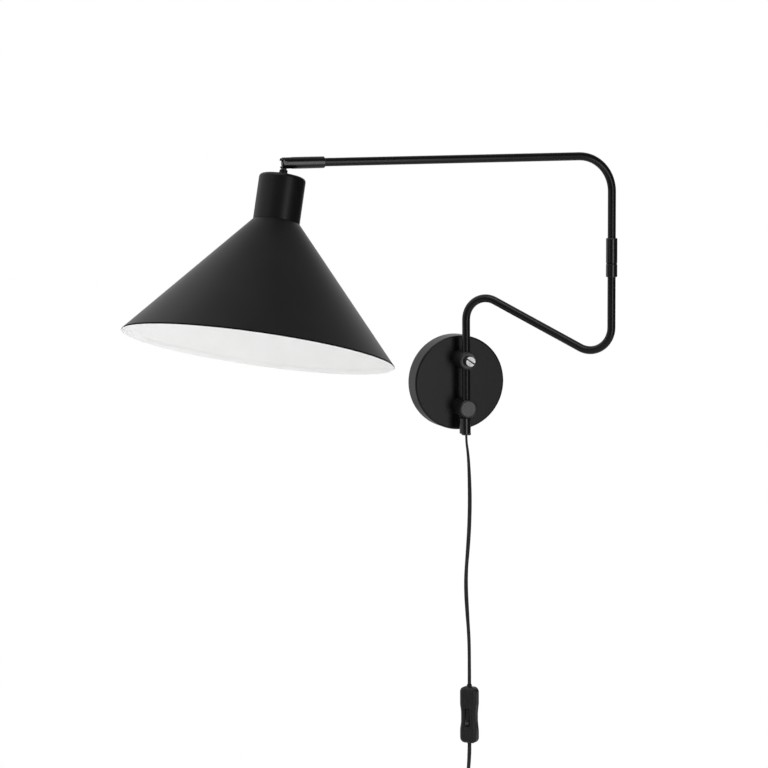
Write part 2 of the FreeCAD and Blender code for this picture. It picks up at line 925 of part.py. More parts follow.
def make_holder_shell():
    outer = s.holder_bore / 2 - s.running_gap
    mouth = holder_foot + s.shell_sunk
    return turn_solid("holder_shell", [
        (outer - s.shell_wall, mouth),
        (outer, mouth),
        (outer, mouth + s.shell_length),
        (outer - s.shell_wall, mouth + s.shell_length),
    ], SHADE)


def make_holder_contact():
    radius = s.contact_diameter / 2
    return turn_solid("holder_contact", [
        (0, holder_floor),
        (radius, holder_floor),
        (radius / 2, holder_floor - s.contact_height),
        (0, holder_floor - s.contact_height),
    ], SHADE)


def make_shade_ring():
    bore = holder_radius + s.running_gap
    top = neck_foot - s.cone_sheet
    edge = s.sleeve_edge
    return turn_solid("shade_ring", [
        (bore, top),
        (s.ring_diameter / 2, top),
        (s.ring_diameter / 2, top - s.ring_height + edge),
        (s.ring_diameter / 2 - edge, top - s.ring_height),
        (bore, top - s.ring_height),
    ], SHADE)


def make_shade_cone():
    hole = holder_radius + s.running_gap
    rim = s.rim_diameter / 2
    spread = rim - neck_radius
    slant = root(spread * spread + s.cone_height * s.cone_height)
    # the sheet's thickness measured level, and how far the inner face has run out below the flat top
    level = s.cone_sheet * slant / s.cone_height
    drift = s.cone_sheet * spread / s.cone_height
    rim_height = neck_foot - s.cone_height
    return turn_solid("shade_cone", [
        (hole, neck_foot),
        (neck_radius, neck_foot),
        (rim, rim_height),
        (rim - level, rim_height),
        (neck_radius - level + drift, neck_foot - s.cone_sheet),
        (hole, neck_foot - s.cone_sheet),
    ], SHADE)


# In-line switch, with its own Y up and its own Z out of its front face

SWITCH = at(s.switch_side, -s.axis_reach, -s.switch_drop) * turned(Z_AXIS, -s.switch_turn) * WALL


def switch_outline():
    """Long outline drawn in at the waist, which is level with the rocker, with rounded corners."""
    side = s.switch_width / 2
    waist = s.switch_waist / 2
    end = s.switch_length / 2
    low = s.switch_waist_length / 2
    high = s.switch_bulge_length / 2
    right = [
        (side, -end, s.switch_corner),
        (side, -high - s.well_drop, s.switch_waist_round),
        (waist, -low - s.well_drop, s.switch_waist_round),
        (waist, low - s.well_drop, s.switch_waist_round),
        (side, high - s.well_drop, s.switch_waist_round),
        (side, end, s.switch_corner),
    ]
    left = [(-x, y, turn) for x, y, turn in reversed(right)]
    return right + left


def soften(body, label, height, size):
    """Takes the edge off the flat face that lies at a height of the body."""
    pad = body.Tip
    faces = []
    for i, face in enumerate(pad.Shape.Faces):
        flat = face.BoundBox.ZLength < 1e-6
        if flat and abs(face.CenterOfMass.z - number(height)) < 1e-6:
            faces.append("Face%d" % (i + 1))
    edge = body.newObject("PartDesign::Chamfer", label)
    edge.Base = (pad, faces)
    bind(edge, Size=size)
    doc.recompute()
    return body


def switch_screw_rods(label, radius, length):
    """Two rods at the switch's screws, from the back of the base."""
    rods = []
    for name, side in (("upper", 1), ("lower", -1)):
        place = SWITCH * at(0, side * s.switch_screw_spacing / 2, -s.switch_half_depth)
        rods.append(rod(label + "_" + name, radius, length, place))
    return rods


def make_switch_base():
    half = s.switch_half_depth
    back = pad_solid("switch_back", switch_outline(), half, SWITCH * at(0, 0, -half))
    soften(back, "switch_back_edge", 0, s.switch_edge)
    holes = switch_screw_rods("switch_base_hole", s.switch_screw_diameter / 2 + s.running_gap, half * 2)
    return cut("switch_base", back, *holes)


def make_switch_cover():
    half = s.switch_half_depth
    front = pad_solid("switch_front", switch_outline(), half, SWITCH)
    soften(front, "switch_front_edge", half, s.switch_edge)
    well = block("switch_well", s.well_width, s.well_length, s.well_depth * 2,
                 SWITCH * at(0, -s.well_drop, half))
    axle = rod("switch_axle_hole", s.rocker_axle / 2 + s.running_gap, s.switch_waist - 2 * s.rocker_axle,
               rocker_place() * at(s.rocker_axle - s.switch_waist / 2) * ALONG)
    holes = switch_screw_rods("switch_cover_hole", s.switch_screw_diameter / 2 + s.running_gap,
                              s.switch_screw_length + s.seat_gap)
    return cut("switch_cover", front, well, axle, *holes)


def rocker_place():
    """The middle of the rocker's axle, half way down its well."""
    return SWITCH * at(0, -s.well_drop, s.switch_half_depth - s.well_depth / 2)


def make_switch_rocker():
    wide = s.well_width - 2 * s.seat_gap
    long = s.well_length - 4 * s.seat_gap
    half = s.rocker_height / 2
    # drawn from the side: X along the switch, Y out of its face, raised across the switch
    side = at(-wide / 2) * turned(Y_AXIS, 90) * turned(Z_AXIS, 90)
    # at rest its upper end is sunk
    lean = rocker_place() * turned(X_AXIS, -s.rocker_lean)
    reach = long / 2
    edge = s.rocker_edge
    cap = pad_solid("rocker_cap", [
        (-reach, half - edge),
        (-reach, 0),
        (-edge, -half / 2),
        (edge, -half / 2),
        (reach, 0),
        (reach, half - edge),
        (reach - edge, half),
        (0, half - s.rocker_dish),
        (edge - reach, half),
    ], wide, lean * side)
    axle = rod("rocker_axle_rod", s.rocker_axle / 2, s.switch_waist - 2 * s.rocker_axle - 2 * s.seat_gap,
               rocker_place() * at(s.rocker_axle + s.seat_gap - s.switch_waist / 2) * ALONG)
    return join("switch_rocker", cap, axle)


def make_switch_screws():
    return group("switch_screws", *switch_screw_rods("switch_screw", s.switch_screw_diameter / 2,
                                                     s.switch_screw_length))


def make_switch_glands():
    glands = []
    for name, side, length in (("upper", 1, s.gland_length), ("lower", -1, s.gland_stop)):
        place = at(s.switch_side, -s.axis_reach, side * s.switch_length / 2 - s.switch_drop)
        turn = turned(X_AXIS, 0 if side > 0 else 180)
        glands.append(rod("switch_gland_" + name, s.gland_diameter / 2, length, place * turn))
    return group("switch_glands", *glands)


# Cord

cord_radius = s.cord_diameter / 2
cord_top = -number(lower_foot + s.bush_flange_thick)
switch_in = number(s.switch_length / 2 + s.gland_length - s.switch_drop)
switch_out = -number(s.switch_length / 2 + s.gland_stop + s.switch_drop)
cord_y = -number(s.axis_reach)
tail_y = cord_y + number(s.coil_layer)
coil_in = number(s.cord_diameter - s.coil_drop)
coil_out = -number(s.cord_diameter + s.coil_drop)

# Routes chosen by eye from the photographed cord, top to bottom
UPPER_ROUTE = [
    Vector(0.0, cord_y, cord_top),
    Vector(0.0, cord_y, -72.5),
    Vector(2.4, cord_y, -88.0),
    Vector(3.9, cord_y, -112.0),
    Vector(4.8, cord_y, -147.0),
    Vector(3.9, cord_y, -182.0),
    Vector(1.8, cord_y, -212.0),
    Vector(-0.6, cord_y, -239.0),
    Vector(-0.8, cord_y, -264.0),
    Vector(1.0, cord_y, -294.0),
    Vector(3.3, cord_y, -326.0),
    Vector(3.7, cord_y, -356.0),
    Vector(3.7, cord_y, switch_in),
]
LOWER_ROUTE = [
    Vector(3.7, cord_y, switch_out),
    Vector(3.7, cord_y, -472.0),
    Vector(2.9, cord_y, -488.0),
    Vector(1.2, cord_y, -508.0),
    Vector(0.0, cord_y, -524.0),
    Vector(0.0, cord_y, coil_in),
]
TAIL_ROUTE = [
    Vector(0.0, tail_y, coil_out),
    Vector(0.0, tail_y, -549.4),
    Vector(1.0, tail_y, -559.4),
    Vector(1.0, tail_y, -566.4),
]
ARC_SHARE = 0.45


def cord_path(label, points):
    """Straight runs joined by arcs as large as the runs beside them allow."""
    edges = []
    start = points[0]
    radii = []
    for before, corner, after in zip(points, points[1:], points[2:]):
        turn = (corner - before).getAngle(after - corner)
        shorter = min((corner - before).Length, (after - corner).Length)
        radius = ARC_SHARE * shorter / math.tan(turn / 2)
        radii.append(radius)
        near, middle, far = rounding(before, corner, after, radius)
        edges.append(Part.LineSegment(start, near).toShape())
        edges.append(Part.Arc(near, middle, far).toShape())
        start = far
    edges.append(Part.LineSegment(start, points[-1]).toShape())
    print(label, "radii mm:", ", ".join("%.0f" % radius for radius in radii))
    return Part.Wire(edges)


def cord_tube(label, path):
    """A round tube along a path, its volume compared with its section times its length."""
    first = path.Edges[0]
    start = first.valueAt(first.FirstParameter)
    ahead = first.tangentAt(first.FirstParameter)
    ring = Part.Wire([Part.Circle(start, ahead, number(cord_radius)).toShape()])
    tube = path.makePipeShell([ring], True, False)
    expected = math.pi * number(cord_radius) ** 2 * path.Length
    print("%s length %.1f mm, volume over section times length %.4f" % (
        label, path.Length, tube.Volume / expected))
    return shaped(label, tube)


def make_cord_run(label, route):
    return cord_tube(label, cord_path(label, route))


# Coil: it winds in on the front layer and out again on the back one, about an axis along Y

COIL_END = number(s.coil_half_turns) * math.pi
REVERSAL = 0.6


def coil_radius(turn):
    """Radius of the winding at an angle measured from its reversal."""
    return number(s.coil_inner_radius) + number(s.coil_pitch) * math.hypot(turn, REVERSAL) / (2 * math.pi)


COIL_OUTER = coil_radius(COIL_END)
COIL_MIDDLE = Vector(-COIL_OUTER, (cord_y + tail_y) / 2, -number(s.coil_drop))


def coil_point(turn):
    """A point of the winding: it climbs to the back layer in the half turn round the reversal."""
    angle = turn + COIL_END
    climb = math.sin(max(-math.pi / 2, min(math.pi / 2, turn)))
    radius = coil_radius(turn)
    layer = climb * number(s.coil_layer) / 2
    return COIL_MIDDLE + Vector(radius * math.cos(angle), layer, -radius * math.sin(angle))


def coil_heading(turn):
    """Direction of the winding, straight down at both ends."""
    if abs(turn) > COIL_END - 1e-9:
        return Vector(0, 0, -1)
    step = 1e-4
    return (coil_point(turn + step) - coil_point(turn - step)).normalize()


def arc_between(start, heading, end):
    """The arc that leaves a point in a direction and ends at another point."""
    chord = end - start
    along = chord * (1 / chord.Length)
    side = (heading - along * heading.dot(along)).normalize()
    bulge = chord.Length / 2 * math.tan(heading.getAngle(chord) / 2)
    return Part.Arc(start, start + chord * 0.5 + side * bulge, end).toShape()


def biarc(start, heading, end, arrival):
    """Two arcs, smooth where they meet, from one point and direction to another."""
    span = end - start
    both = heading + arrival
    square = 2 * (1 - heading.dot(arrival))
    reach = (math.sqrt(span.dot(both) ** 2 + square * span.dot(span)) - span.dot(both)) / square
    middle = (start + heading * reach + end - arrival * reach) * 0.5
    return [arc_between(start, heading, middle), arc_between(end, arrival * -1, middle)]


def coil_gap():
    """Least gap between the cord and itself, measured on points of the winding."""
    per_turn = 72
    count = int(s.coil_half_turns.value * per_turn)
    points = [coil_point(COIL_END * (2 * i / count - 1)) for i in range(count + 1)]
    least = COIL_OUTER
    for i, point in enumerate(points):
        for other in points[i + per_turn // 2:]:
            least = min(least, point.distanceToPoint(other))
    return least - number(s.cord_diameter)


def make_coil():
    straight = Vector(0, 0, number(s.cord_diameter))
    turns = [math.pi / 2 * i - COIL_END for i in range(4 * int(s.coil_half_turns.value) + 1)]
    first = coil_point(turns[0])
    last = coil_point(turns[-1])
    edges = [Part.LineSegment(first + straight, first).toShape()]
    for low, high in zip(turns, turns[1:]):
        edges += biarc(coil_point(low), coil_heading(low), coil_point(high), coil_heading(high))
    edges.append(Part.LineSegment(last, last - straight).toShape())
    path = Part.Wire(edges)
    print("coil least gap to itself %.2f mm, %.1f mm across at the middle of its turns" % (
        coil_gap(), coil_radius(0) + COIL_OUTER))
    return cord_tube("cord_coil", path)


def make_coil_tie():
    """A band round all the turns on the side away from the coil's ends."""
    gap = number(s.seat_gap)
    half = number(s.tie_width) / 2
    outer = coil_radius(COIL_END - math.pi) + number(cord_radius) + gap
    inner = math.sqrt((coil_radius(0) - number(cord_radius)) ** 2 - half ** 2) - gap
    across = outer - inner
    deep = number(s.coil_layer + s.cord_diameter) + 2 * gap
    wall = 2 * number(s.tie_thick)
    place = at(COIL_MIDDLE.x - (outer + inner) / 2, COIL_MIDDLE.y, COIL_MIDDLE.z)
    band = block("tie_band", wall + across, wall + deep, s.tie_width, place)
    hollow = block("tie_hollow", across, deep, s.tie_width * 2, place)
    return cut("coil_tie", band, hollow)


# Plug, hanging pins down from the end of the cord

PLUG = at(*TAIL_ROUTE[-1])


def make_plug_relief():
    return turn_solid("plug_relief", [
        (0, 0),
        (s.relief_neck / 2, 0),
        (s.relief_base / 2, -s.relief_length),
        (0, -s.relief_length),
    ], PLUG)


def make_plug_body():
    side = s.plug_width / 2
    shoulder = s.plug_shoulder / 2
    place = PLUG * at(0, 0, -s.relief_length - s.plug_length) * WALL * at(0, 0, -s.plug_depth / 2)
    body = pad_solid("plug_body", [
        (-side, 0, s.plug_round),
        (side, 0, s.plug_round),
        (side, s.plug_straight, s.plug_round),
        (shoulder, s.plug_length, s.plug_round),
        (-shoulder, s.plug_length, s.plug_round),
        (-side, s.plug_straight, s.plug_round),
    ], s.plug_depth, place)
    soften(body, "plug_front_edge", s.plug_depth, s.switch_edge)
    return soften(body, "plug_back_edge", 0, s.switch_edge)


def make_plug_pins():
    face = -s.relief_length - s.plug_length
    tip = face - s.prong_length
    radius = s.prong_diameter / 2
    prongs = []
    for name, side in (("left", -1), ("right", 1)):
        prongs.append(turn_solid("prong_" + name, [
            (0, face),
            (radius, face),
            (radius, tip + radius / 2),
            (radius / 2, tip),
            (0, tip),
        ], PLUG * at(side * s.prong_spacing / 2)))
    return group("plug_pins", *prongs)


pieces = [
    make_cover(),
    make_bracket(),
    make_cover_screw(),
    make_post("post_upper", 1, True),
    make_post("post_lower", -1, False),
    make_post_screws(),
    make_clamp_screw(),
    make_lower_arm(),
    make_foot_collar(),
    make_foot_grub(),
    make_cord_bush(),
    make_mid_collar(),
    make_mid_pin(),
    make_mid_washer(),
    make_upper_arm(),
    make_mid_sleeve(),
    make_mid_grub(),
    make_end_collar(),
    make_end_axle(),
    make_swivel_fork(),
    make_swivel_grub(),
    make_hinge_pin(),
    make_hinge_stub(),
    make_stub_nut(),
    make_neck_cup(),
    make_lamp_holder(),
    make_holder_shell(),
    make_holder_contact(),
    make_shade_ring(),
    make_shade_cone(),
    make_switch_base(),
    make_switch_cover(),
    make_switch_rocker(),
    make_switch_screws(),
    make_switch_glands(),
    make_cord_run("cord_upper", UPPER_ROUTE),
    make_cord_run("cord_lower", LOWER_ROUTE),
    make_coil(),
    make_cord_run("cord_tail", TAIL_ROUTE),
    make_coil_tie(),
    make_plug_relief(),
    make_plug_body(),
    make_plug_pins(),
]
doc.recompute()

for item in doc.Objects:
    if "Invalid" in item.State or "Error" in item.State:
        raise RuntimeError("%s failed: %s" % (item.Label, item.State))
for piece in pieces:
    if piece.Shape.isNull() or not piece.Shape.isValid() or not piece.Shape.Solids:
        raise RuntimeError("%s has no valid solid" % piece.Label)

os.makedirs("parts", exist_ok=True)
for piece in pieces:
    piece.Shape.exportStep("parts/%s.step" % piece.Label)
print(len(pieces), "pieces written")
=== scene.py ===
"""A black swing arm wall lamp, dressed for its picture.

Everything is in metres, in the frame of the solids: the wall is the plane y = 0, the lamp reaches out
towards -Y, +X is to the right and +Z is up. Angles are in degrees.
"""

import logging
import math
from dataclasses import dataclass
from enum import Enum
from typing import Any, Dict, Mapping, Optional, Sequence, Tuple, Union

import bmesh
import bpy
import numpy as np
from mathutils import Matrix


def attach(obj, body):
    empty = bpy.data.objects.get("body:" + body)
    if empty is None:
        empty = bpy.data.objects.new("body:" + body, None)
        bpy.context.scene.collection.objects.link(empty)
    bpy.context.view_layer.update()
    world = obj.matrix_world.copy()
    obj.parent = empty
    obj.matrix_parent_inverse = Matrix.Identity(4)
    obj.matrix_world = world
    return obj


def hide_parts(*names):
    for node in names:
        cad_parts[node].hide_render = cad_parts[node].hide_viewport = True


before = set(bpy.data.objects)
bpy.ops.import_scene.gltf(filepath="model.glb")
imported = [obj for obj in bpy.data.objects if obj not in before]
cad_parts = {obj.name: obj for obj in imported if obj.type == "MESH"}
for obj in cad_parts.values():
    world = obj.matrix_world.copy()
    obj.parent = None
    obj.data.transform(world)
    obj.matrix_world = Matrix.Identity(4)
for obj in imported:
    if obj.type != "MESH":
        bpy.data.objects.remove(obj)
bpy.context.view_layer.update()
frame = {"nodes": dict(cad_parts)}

log = logging.getLogger("wall_lamp")
Pair = Tuple[float, float]
Triple = Tuple[float, float, float]
Number = Union[float, "Wire"]
MM = 0.001
WELD = 1e-7
WHITE = (1.0, 1.0, 1.0, 1.0)


class Body(Enum):
    """The groups of the lamp that new pieces move with."""

    WALL = "wall"
    SHADE = "shade"
    ROCKER = "rocker"


class Slot(Enum):
    """The record's finishes, passed with each new piece but not read."""

    BRASS = "brass"
    HOLDER_BLACK = "holder_black"
    SWITCH_BLACK = "switch_black"
    CORD_BLACK = "cord_black"
    SHADE_PAINT = "shade_paint"


class Ray(Enum):
    """The kinds of ray that a shader tells apart."""

    CAMERA = "Is Camera Ray"
    THROUGH = "Is Transmission Ray"
    GLOSS = "Is Glossy Ray"


def cosine(degrees: float) -> float:
    """Cosine of an angle in degrees."""
    return math.cos(math.radians(degrees))


def sine(degrees: float) -> float:
    """Sine of an angle in degrees."""
    return math.sin(math.radians(degrees))


def grey(level: float, blue: float = 0.0) -> Triple:
    """A neutral tone, with a little more blue in it where that is given."""
    return level, level, level + blue


class Wire:
    """One output socket, so that shader sums are written as Python expressions."""

    def __init__(self, shader: "Shader", socket: bpy.types.NodeSocket) -> None:
        """Keeps the socket and the shader that it belongs to."""
        self.shader = shader
        self.socket = socket

    def _math(self, operation: str, *terms: Number) -> "Wire":
        """Adds one Math node on the given terms."""
        return self.shader.add("ShaderNodeMath", {"operation": operation}, dict(enumerate(terms)))

    def __add__(self, other: Number) -> "Wire":
        """Sum."""
        return self._math("ADD", self, other)

    def __radd__(self, other: Number) -> "Wire":
        """Sum with the number first."""
        return self._math("ADD", other, self)

    def __sub__(self, other: Number) -> "Wire":
        """Difference."""
        return self._math("SUBTRACT", self, other)

    def __rsub__(self, other: Number) -> "Wire":
        """Difference with the number first."""
        return self._math("SUBTRACT", other, self)

    def __mul__(self, other: Number) -> "Wire":
        """Product."""
        return self._math("MULTIPLY", self, other)

    def __rmul__(self, other: Number) -> "Wire":
        """Product with the number first."""
        return self._math("MULTIPLY", other, self)

    def sine(self) -> "Wire":
        """Sine of an angle in radians."""
        return self._math("SINE", self)

    def larger(self, other: Number) -> "Wire":
        """The larger of two numbers."""
        return self._math("MAXIMUM", self, other)

    def step(self, low: float, high: float) -> "Wire":
        """A soft step: 0 up to low, 1 from high on, and a smooth rise between."""
        return self.shader.add("ShaderNodeMapRange", {"interpolation_type": "SMOOTHSTEP"},
                               {"Value": self, "From Min": low, "From Max": high})


class Shader:
    """Builds the nodes of one material or of the world."""

    def __init__(self, owner: Union[bpy.types.Material, bpy.types.World]) -> None:
        """Starts an empty node tree on its owner."""
        owner.use_nodes = True
        self.tree = owner.node_tree
        self.tree.nodes.clear()

    def add(self, kind: str, settings: Optional[Mapping[str, Any]] = None,
            sockets: Optional[Mapping[Union[int, str], Any]] = None, out: Union[int, str] = 0) -> Wire:
        """Adds one node.

        Args:
            kind: the node's type.
            settings: attributes of the node, set before its sockets.
            sockets: a value or a Wire for each input that is not left as it is.
            out: the output that is returned.

        Returns:
            The chosen output.
        """
        node = self.tree.nodes.new(kind)
        for key, setting in (settings or {}).items():
            setattr(node, key, setting)
        for key, given in (sockets or {}).items():
            if isinstance(given, Wire):
                self.tree.links.new(given.socket, node.inputs[key])
            else:
                node.inputs[key].default_value = given
        return Wire(self, node.outputs[out] if len(node.outputs) else None)

    def vector(self, operation: str, *terms: Any, out: str = "Vector") -> Wire:
        """Adds one Vector Math node on the given terms."""
        return self.add("ShaderNodeVectorMath", {"operation": operation}, dict(enumerate(terms)), out)

    def part(self, vector: Wire, axis: str) -> Wire:
        """One coordinate of a vector: X, Y or Z."""
        return self.add("ShaderNodeSeparateXYZ", {}, {0: vector}, axis)

    def ray(self, kind: Ray) -> Wire:
        """1 for rays of one kind, 0 for all others."""
        return self.add("ShaderNodeLightPath", out=kind.value)

    def place(self, centre: Triple = (0.0, 0.0, 0.0), scale: Triple = (1.0, 1.0, 1.0)) -> Wire:
        """Object coordinates, measured from a centre and divided by a scale on each axis."""
        seat = self.add("ShaderNodeTexCoord", out="Object")
        return self.add("ShaderNodeMapping", {"vector_type": "TEXTURE"},
                        {"Vector": seat, "Location": centre, "Scale": scale})

    def noise(self, place: Wire, size: float, detail: float = 2.0, rough: float = 0.5) -> Wire:
        """Noise about 0.5 with clouds of one size, and with finer layers on them, so many and so strong."""
        return self.add("ShaderNodeTexNoise", {}, {"Vector": place, "Scale": 1.0 / size, "Detail": detail,
                                                   "Roughness": rough})

    def blend(self, factor: Wire, first: Union[Triple, Wire], second: Union[Triple, Wire]) -> Wire:
        """Mixes two colours or outputs of other mixes: factor 0 gives the first, 1 the second."""
        first, second = (c if isinstance(c, Wire) else (*c, 1.0) for c in (first, second))
        return self.add("ShaderNodeMix", {"data_type": "RGBA"}, {0: factor, 6: first, 7: second}, out=2)

    def bump(self, height: Wire, depth: float) -> Wire:
        """Turns a height from 0 to 1 into a bent normal; depth is in metres."""
        return self.add("ShaderNodeBump", {}, {"Height": height, "Distance": depth})

    def close(self, sockets: Mapping[str, Any]) -> None:
        """Ends a material in one Principled shader with these sockets."""
        skin = self.add("ShaderNodeBsdfPrincipled", {}, sockets)
        self.add("ShaderNodeOutputMaterial", {}, {"Surface": skin})


@dataclass(frozen=True)
class Finish:
    """What every finish has: a name, its two tones and its sheen, which is about its roughness."""

    name: str
    deep: Triple
    pale: Triple
    sheen: float

    def material(self) -> bpy.types.Material:
        """Builds the material from the sockets that this kind of finish gives."""
        made = bpy.data.materials.new(self.name)
        shader = Shader(made)
        shader.close(self.sockets(shader))
        return made

    def sockets(self, shader: Shader) -> Dict[str, Any]:
        """The Principled shader's sockets, which each kind of finish gives for itself."""
        raise NotImplementedError


@dataclass(frozen=True)
class Paint(Finish):
    """Sprayed and baked paint: faint orange peel, a slightly uneven sheen and fine grit."""

    specular: float
    peel: float = 1.4 * MM
    peel_depth: float = 0.004 * MM
    cloud: float = 45 * MM
    grit: float = 0.22 * MM

    def skin(self, shader: Shader, clouds: Wire, grit: Wire, peel: Wire) -> Dict[str, Any]:
        """Plain paint from its three noises.

        Args:
            shader: the material's shader.
            clouds: slow noise.
            grit: the finest noise.
            peel: noise for the relief.

        Returns:
            A colour that follows the clouds and the grit, a roughness that follows the clouds, and a bump
            that is the peel with the grit on it.
        """
        tone = (clouds * 0.7 + grit * 0.3).step(0.3, 0.7)
        return {
            "Base Color": shader.blend(tone, self.deep, self.pale),
            "Roughness": self.sheen - 0.03 + clouds * 0.05 + grit * 0.02,
            "Specular IOR Level": self.specular,
            "Normal": shader.bump(peel * 0.75 + grit * 0.25, self.peel_depth),
        }

    def sockets(self, shader: Shader) -> Dict[str, Any]:
        """Plain paint all over."""
        place = shader.place()
        clouds = shader.noise(place, self.cloud, 3.0)
        peel = shader.noise(place, self.peel, 1.0, 0.4)
        return self.skin(shader, clouds, shader.noise(place, self.grit, 0.0), peel)


@dataclass(frozen=True)
class FacedPaint(Paint):
    """Paint on two turned posts, one above the other, whose end faces are rubbed paler in a black edge."""

    cloud: float = 9 * MM
    face: Triple = grey(0.032, 0.0005)
    face_depth: float = 56.0 * MM
    face_height: float = 30.5 * MM
    face_radius: float = 9.3 * MM
    face_fade: Pair = (0.4 * MM, 0.1 * MM)
    edge_fade: float = 0.7 * MM
    edge_drift: float = 0.4 * MM
    coat: float = 0.5
    coat_sheen: float = 0.46

    def sockets(self, shader: Shader) -> Dict[str, Any]:
        """The paint with its rubbed faces.

        Args:
            shader: the material's shader.

        Returns:
            The paint, with its colour blended to the face's and a coat let in where the distance out of
            the wall reaches the face's depth and the distance from a post's axis is inside the face's
            radius; a slow noise makes the rubbing uneven.
        """
        place = shader.place()
        clouds = shader.noise(place, self.cloud, 3.0)
        grit = shader.noise(place, self.grit, 0.0)
        out = shader.part(place, "Y") * -1.0
        aside = shader.vector("MULTIPLY_ADD", shader.vector("ABSOLUTE", place), (1.0, 0.0, 1.0),
                              (0.0, 0.0, -self.face_height))
        radius = shader.vector("LENGTH", aside, out="Value") + clouds * self.edge_drift
        edge = radius.step(self.face_radius, self.face_radius + self.edge_fade)
        rubbed = out.step(*(self.face_depth - short for short in self.face_fade)) * (1.0 - edge)
        skin = self.skin(shader, clouds, grit, clouds)
        return {
            **skin,
            "Base Color": shader.blend(rubbed * (clouds * 0.4 + 0.6), skin["Base Color"], self.face),
            "Coat Weight": rubbed * self.coat,
            "Coat Roughness": self.coat_sheen,
        }


@dataclass(frozen=True)
class Moulding(Finish):
    """Moulded plastic with the fine grain of a spark-eroded tool."""

    grain: float
    grain_depth: float
    specular: float = 0.4
    haze: float = 12 * MM

    def sockets(self, shader: Shader) -> Dict[str, Any]:
        """Grained plastic.

        Args:
            shader: the material's shader.

        Returns:
            Pitted grain in the bump, with a sheen that is higher on the grain's tops and a slow haze.
        """
        place = shader.place()
        pits = shader.add("ShaderNodeTexVoronoi", {"feature": "SMOOTH_F1"},
                          {"Vector": place, "Scale": 1.0 / self.grain, "Smoothness": 0.6})
        haze = shader.noise(place, self.haze, 2.0)
        return {
            "Base Color": shader.blend((haze * 0.6 + pits * 0.4).step(0.25, 0.7), self.deep, self.pale),
            "Roughness": self.sheen - 0.05 + haze * 0.06 + pits * 0.05,
            "Specular IOR Level": self.specular,
            "Normal": shader.bump(pits, self.grain_depth),
        }


@dataclass(frozen=True)
class TurnedMetal(Finish):
    """A screw's end faced bright on a lathe, in rings round an axis along Y, and painted black behind the
    face as painted shade.
    """

    # black: the tone of the painted shade behind the face, on the head's side and in its slot.
    black: Triple
    centre: Triple
    pitch: float = 0.22 * MM
    ring_depth: float = 0.004 * MM
    ring_sway: float = 5.0
    painted_shade_depth: float = 0.3 * MM
    painted_shade_drift: float = 0.2 * MM
    drift: float = 1.6 * MM
    stain: float = 5 * MM

    def sockets(self, shader: Shader) -> Dict[str, Any]:
        """Turned metal.

        Args:
            shader: the material's shader.

        Returns:
            A metal whose roughness and bump follow the sine of the distance from the axis, broken up
            by a slow noise, and whose colour is painted black at a small depth behind the face: painted
            shade for the dark reflection on the head's side and the shade in its slot.
        """
        place = shader.place(self.centre)
        radius = shader.vector("LENGTH", shader.vector("MULTIPLY", place, (1.0, 0.0, 1.0)), out="Value")
        drift = shader.noise(place, self.drift, 3.0)
        rings = (radius * (2 * math.pi / self.pitch) + drift * self.ring_sway).sine() * 0.5 + 0.5
        stain = shader.noise(place, self.stain, 4.0).step(0.35, 0.75)
        # Painted shade: behind the bright face the colour turns black, for the dark reflection on the head's
        # side and the shade in its slot.
        depth = shader.part(place, "Y") + drift * self.painted_shade_drift
        behind = depth.step(self.painted_shade_depth, 2 * self.painted_shade_depth)
        return {
            "Base Color": shader.blend(behind, shader.blend(stain, self.pale, self.deep), self.black),
            "Metallic": 1.0,
            "Roughness": self.sheen + rings * 0.08 + stain * 0.06 + behind * 0.2,
            "Normal": shader.bump(rings * 0.6 + drift * 0.4, self.ring_depth),
        }


@dataclass(frozen=True)
class DrawnMetal(Finish):
    """Drawn or plated metal: long faint streaks on one axis and cloudy plating."""

    streak: Triple
    streak_depth: float = 0.006 * MM
    plating: float = 7 * MM

    def sockets(self, shader: Shader) -> Dict[str, Any]:
        """Drawn metal.

        Args:
            shader: the material's shader.

        Returns:
            A metal whose colour follows cloudy plating and whose roughness and bump follow noise that
            is drawn out on the streak's axis.
        """
        streaks = shader.noise(shader.place(scale=self.streak), 1.0, 3.0)
        plating = shader.noise(shader.place(), self.plating, 4.0, 0.6).step(0.3, 0.75)
        return {
            "Base Color": shader.blend(plating * 0.7 + streaks * 0.3, self.pale, self.deep),
            "Metallic": 1.0,
            "Roughness": self.sheen + plating * 0.1 + streaks * 0.08,
            "Normal": shader.bump(streaks, self.streak_depth),
        }


@dataclass(frozen=True)
class Sheath(Finish):
    """Soft black cord sheath: drawn out along the cord, with a dull bloom in patches."""

    specular: float = 0.22
    streaks: Triple = (60.0, 14.0, 1.0)
    streak_depth: float = 0.005 * MM
    bloom: float = 9 * MM

    def sockets(self, shader: Shader) -> Dict[str, Any]:
        """The sheath.

        Args:
            shader: the material's shader.

        Returns:
            Streaks along the cord's own run, and slow patches of bloom.
        """
        run = shader.add("ShaderNodeTexCoord", out="UV")
        drawn = shader.add("ShaderNodeMapping", {}, {"Vector": run, "Scale": self.streaks})
        streaks = shader.noise(drawn, 1.0, 3.0)
        bloom = shader.noise(shader.place(), self.bloom, 3.0).step(0.35, 0.8)
        return {
            "Base Color": shader.blend(bloom, self.deep, self.pale),
            "Roughness": self.sheen + bloom * 0.1 + streaks * 0.05,
            "Specular IOR Level": self.specular,
            "Normal": shader.bump(streaks, self.streak_depth),
        }


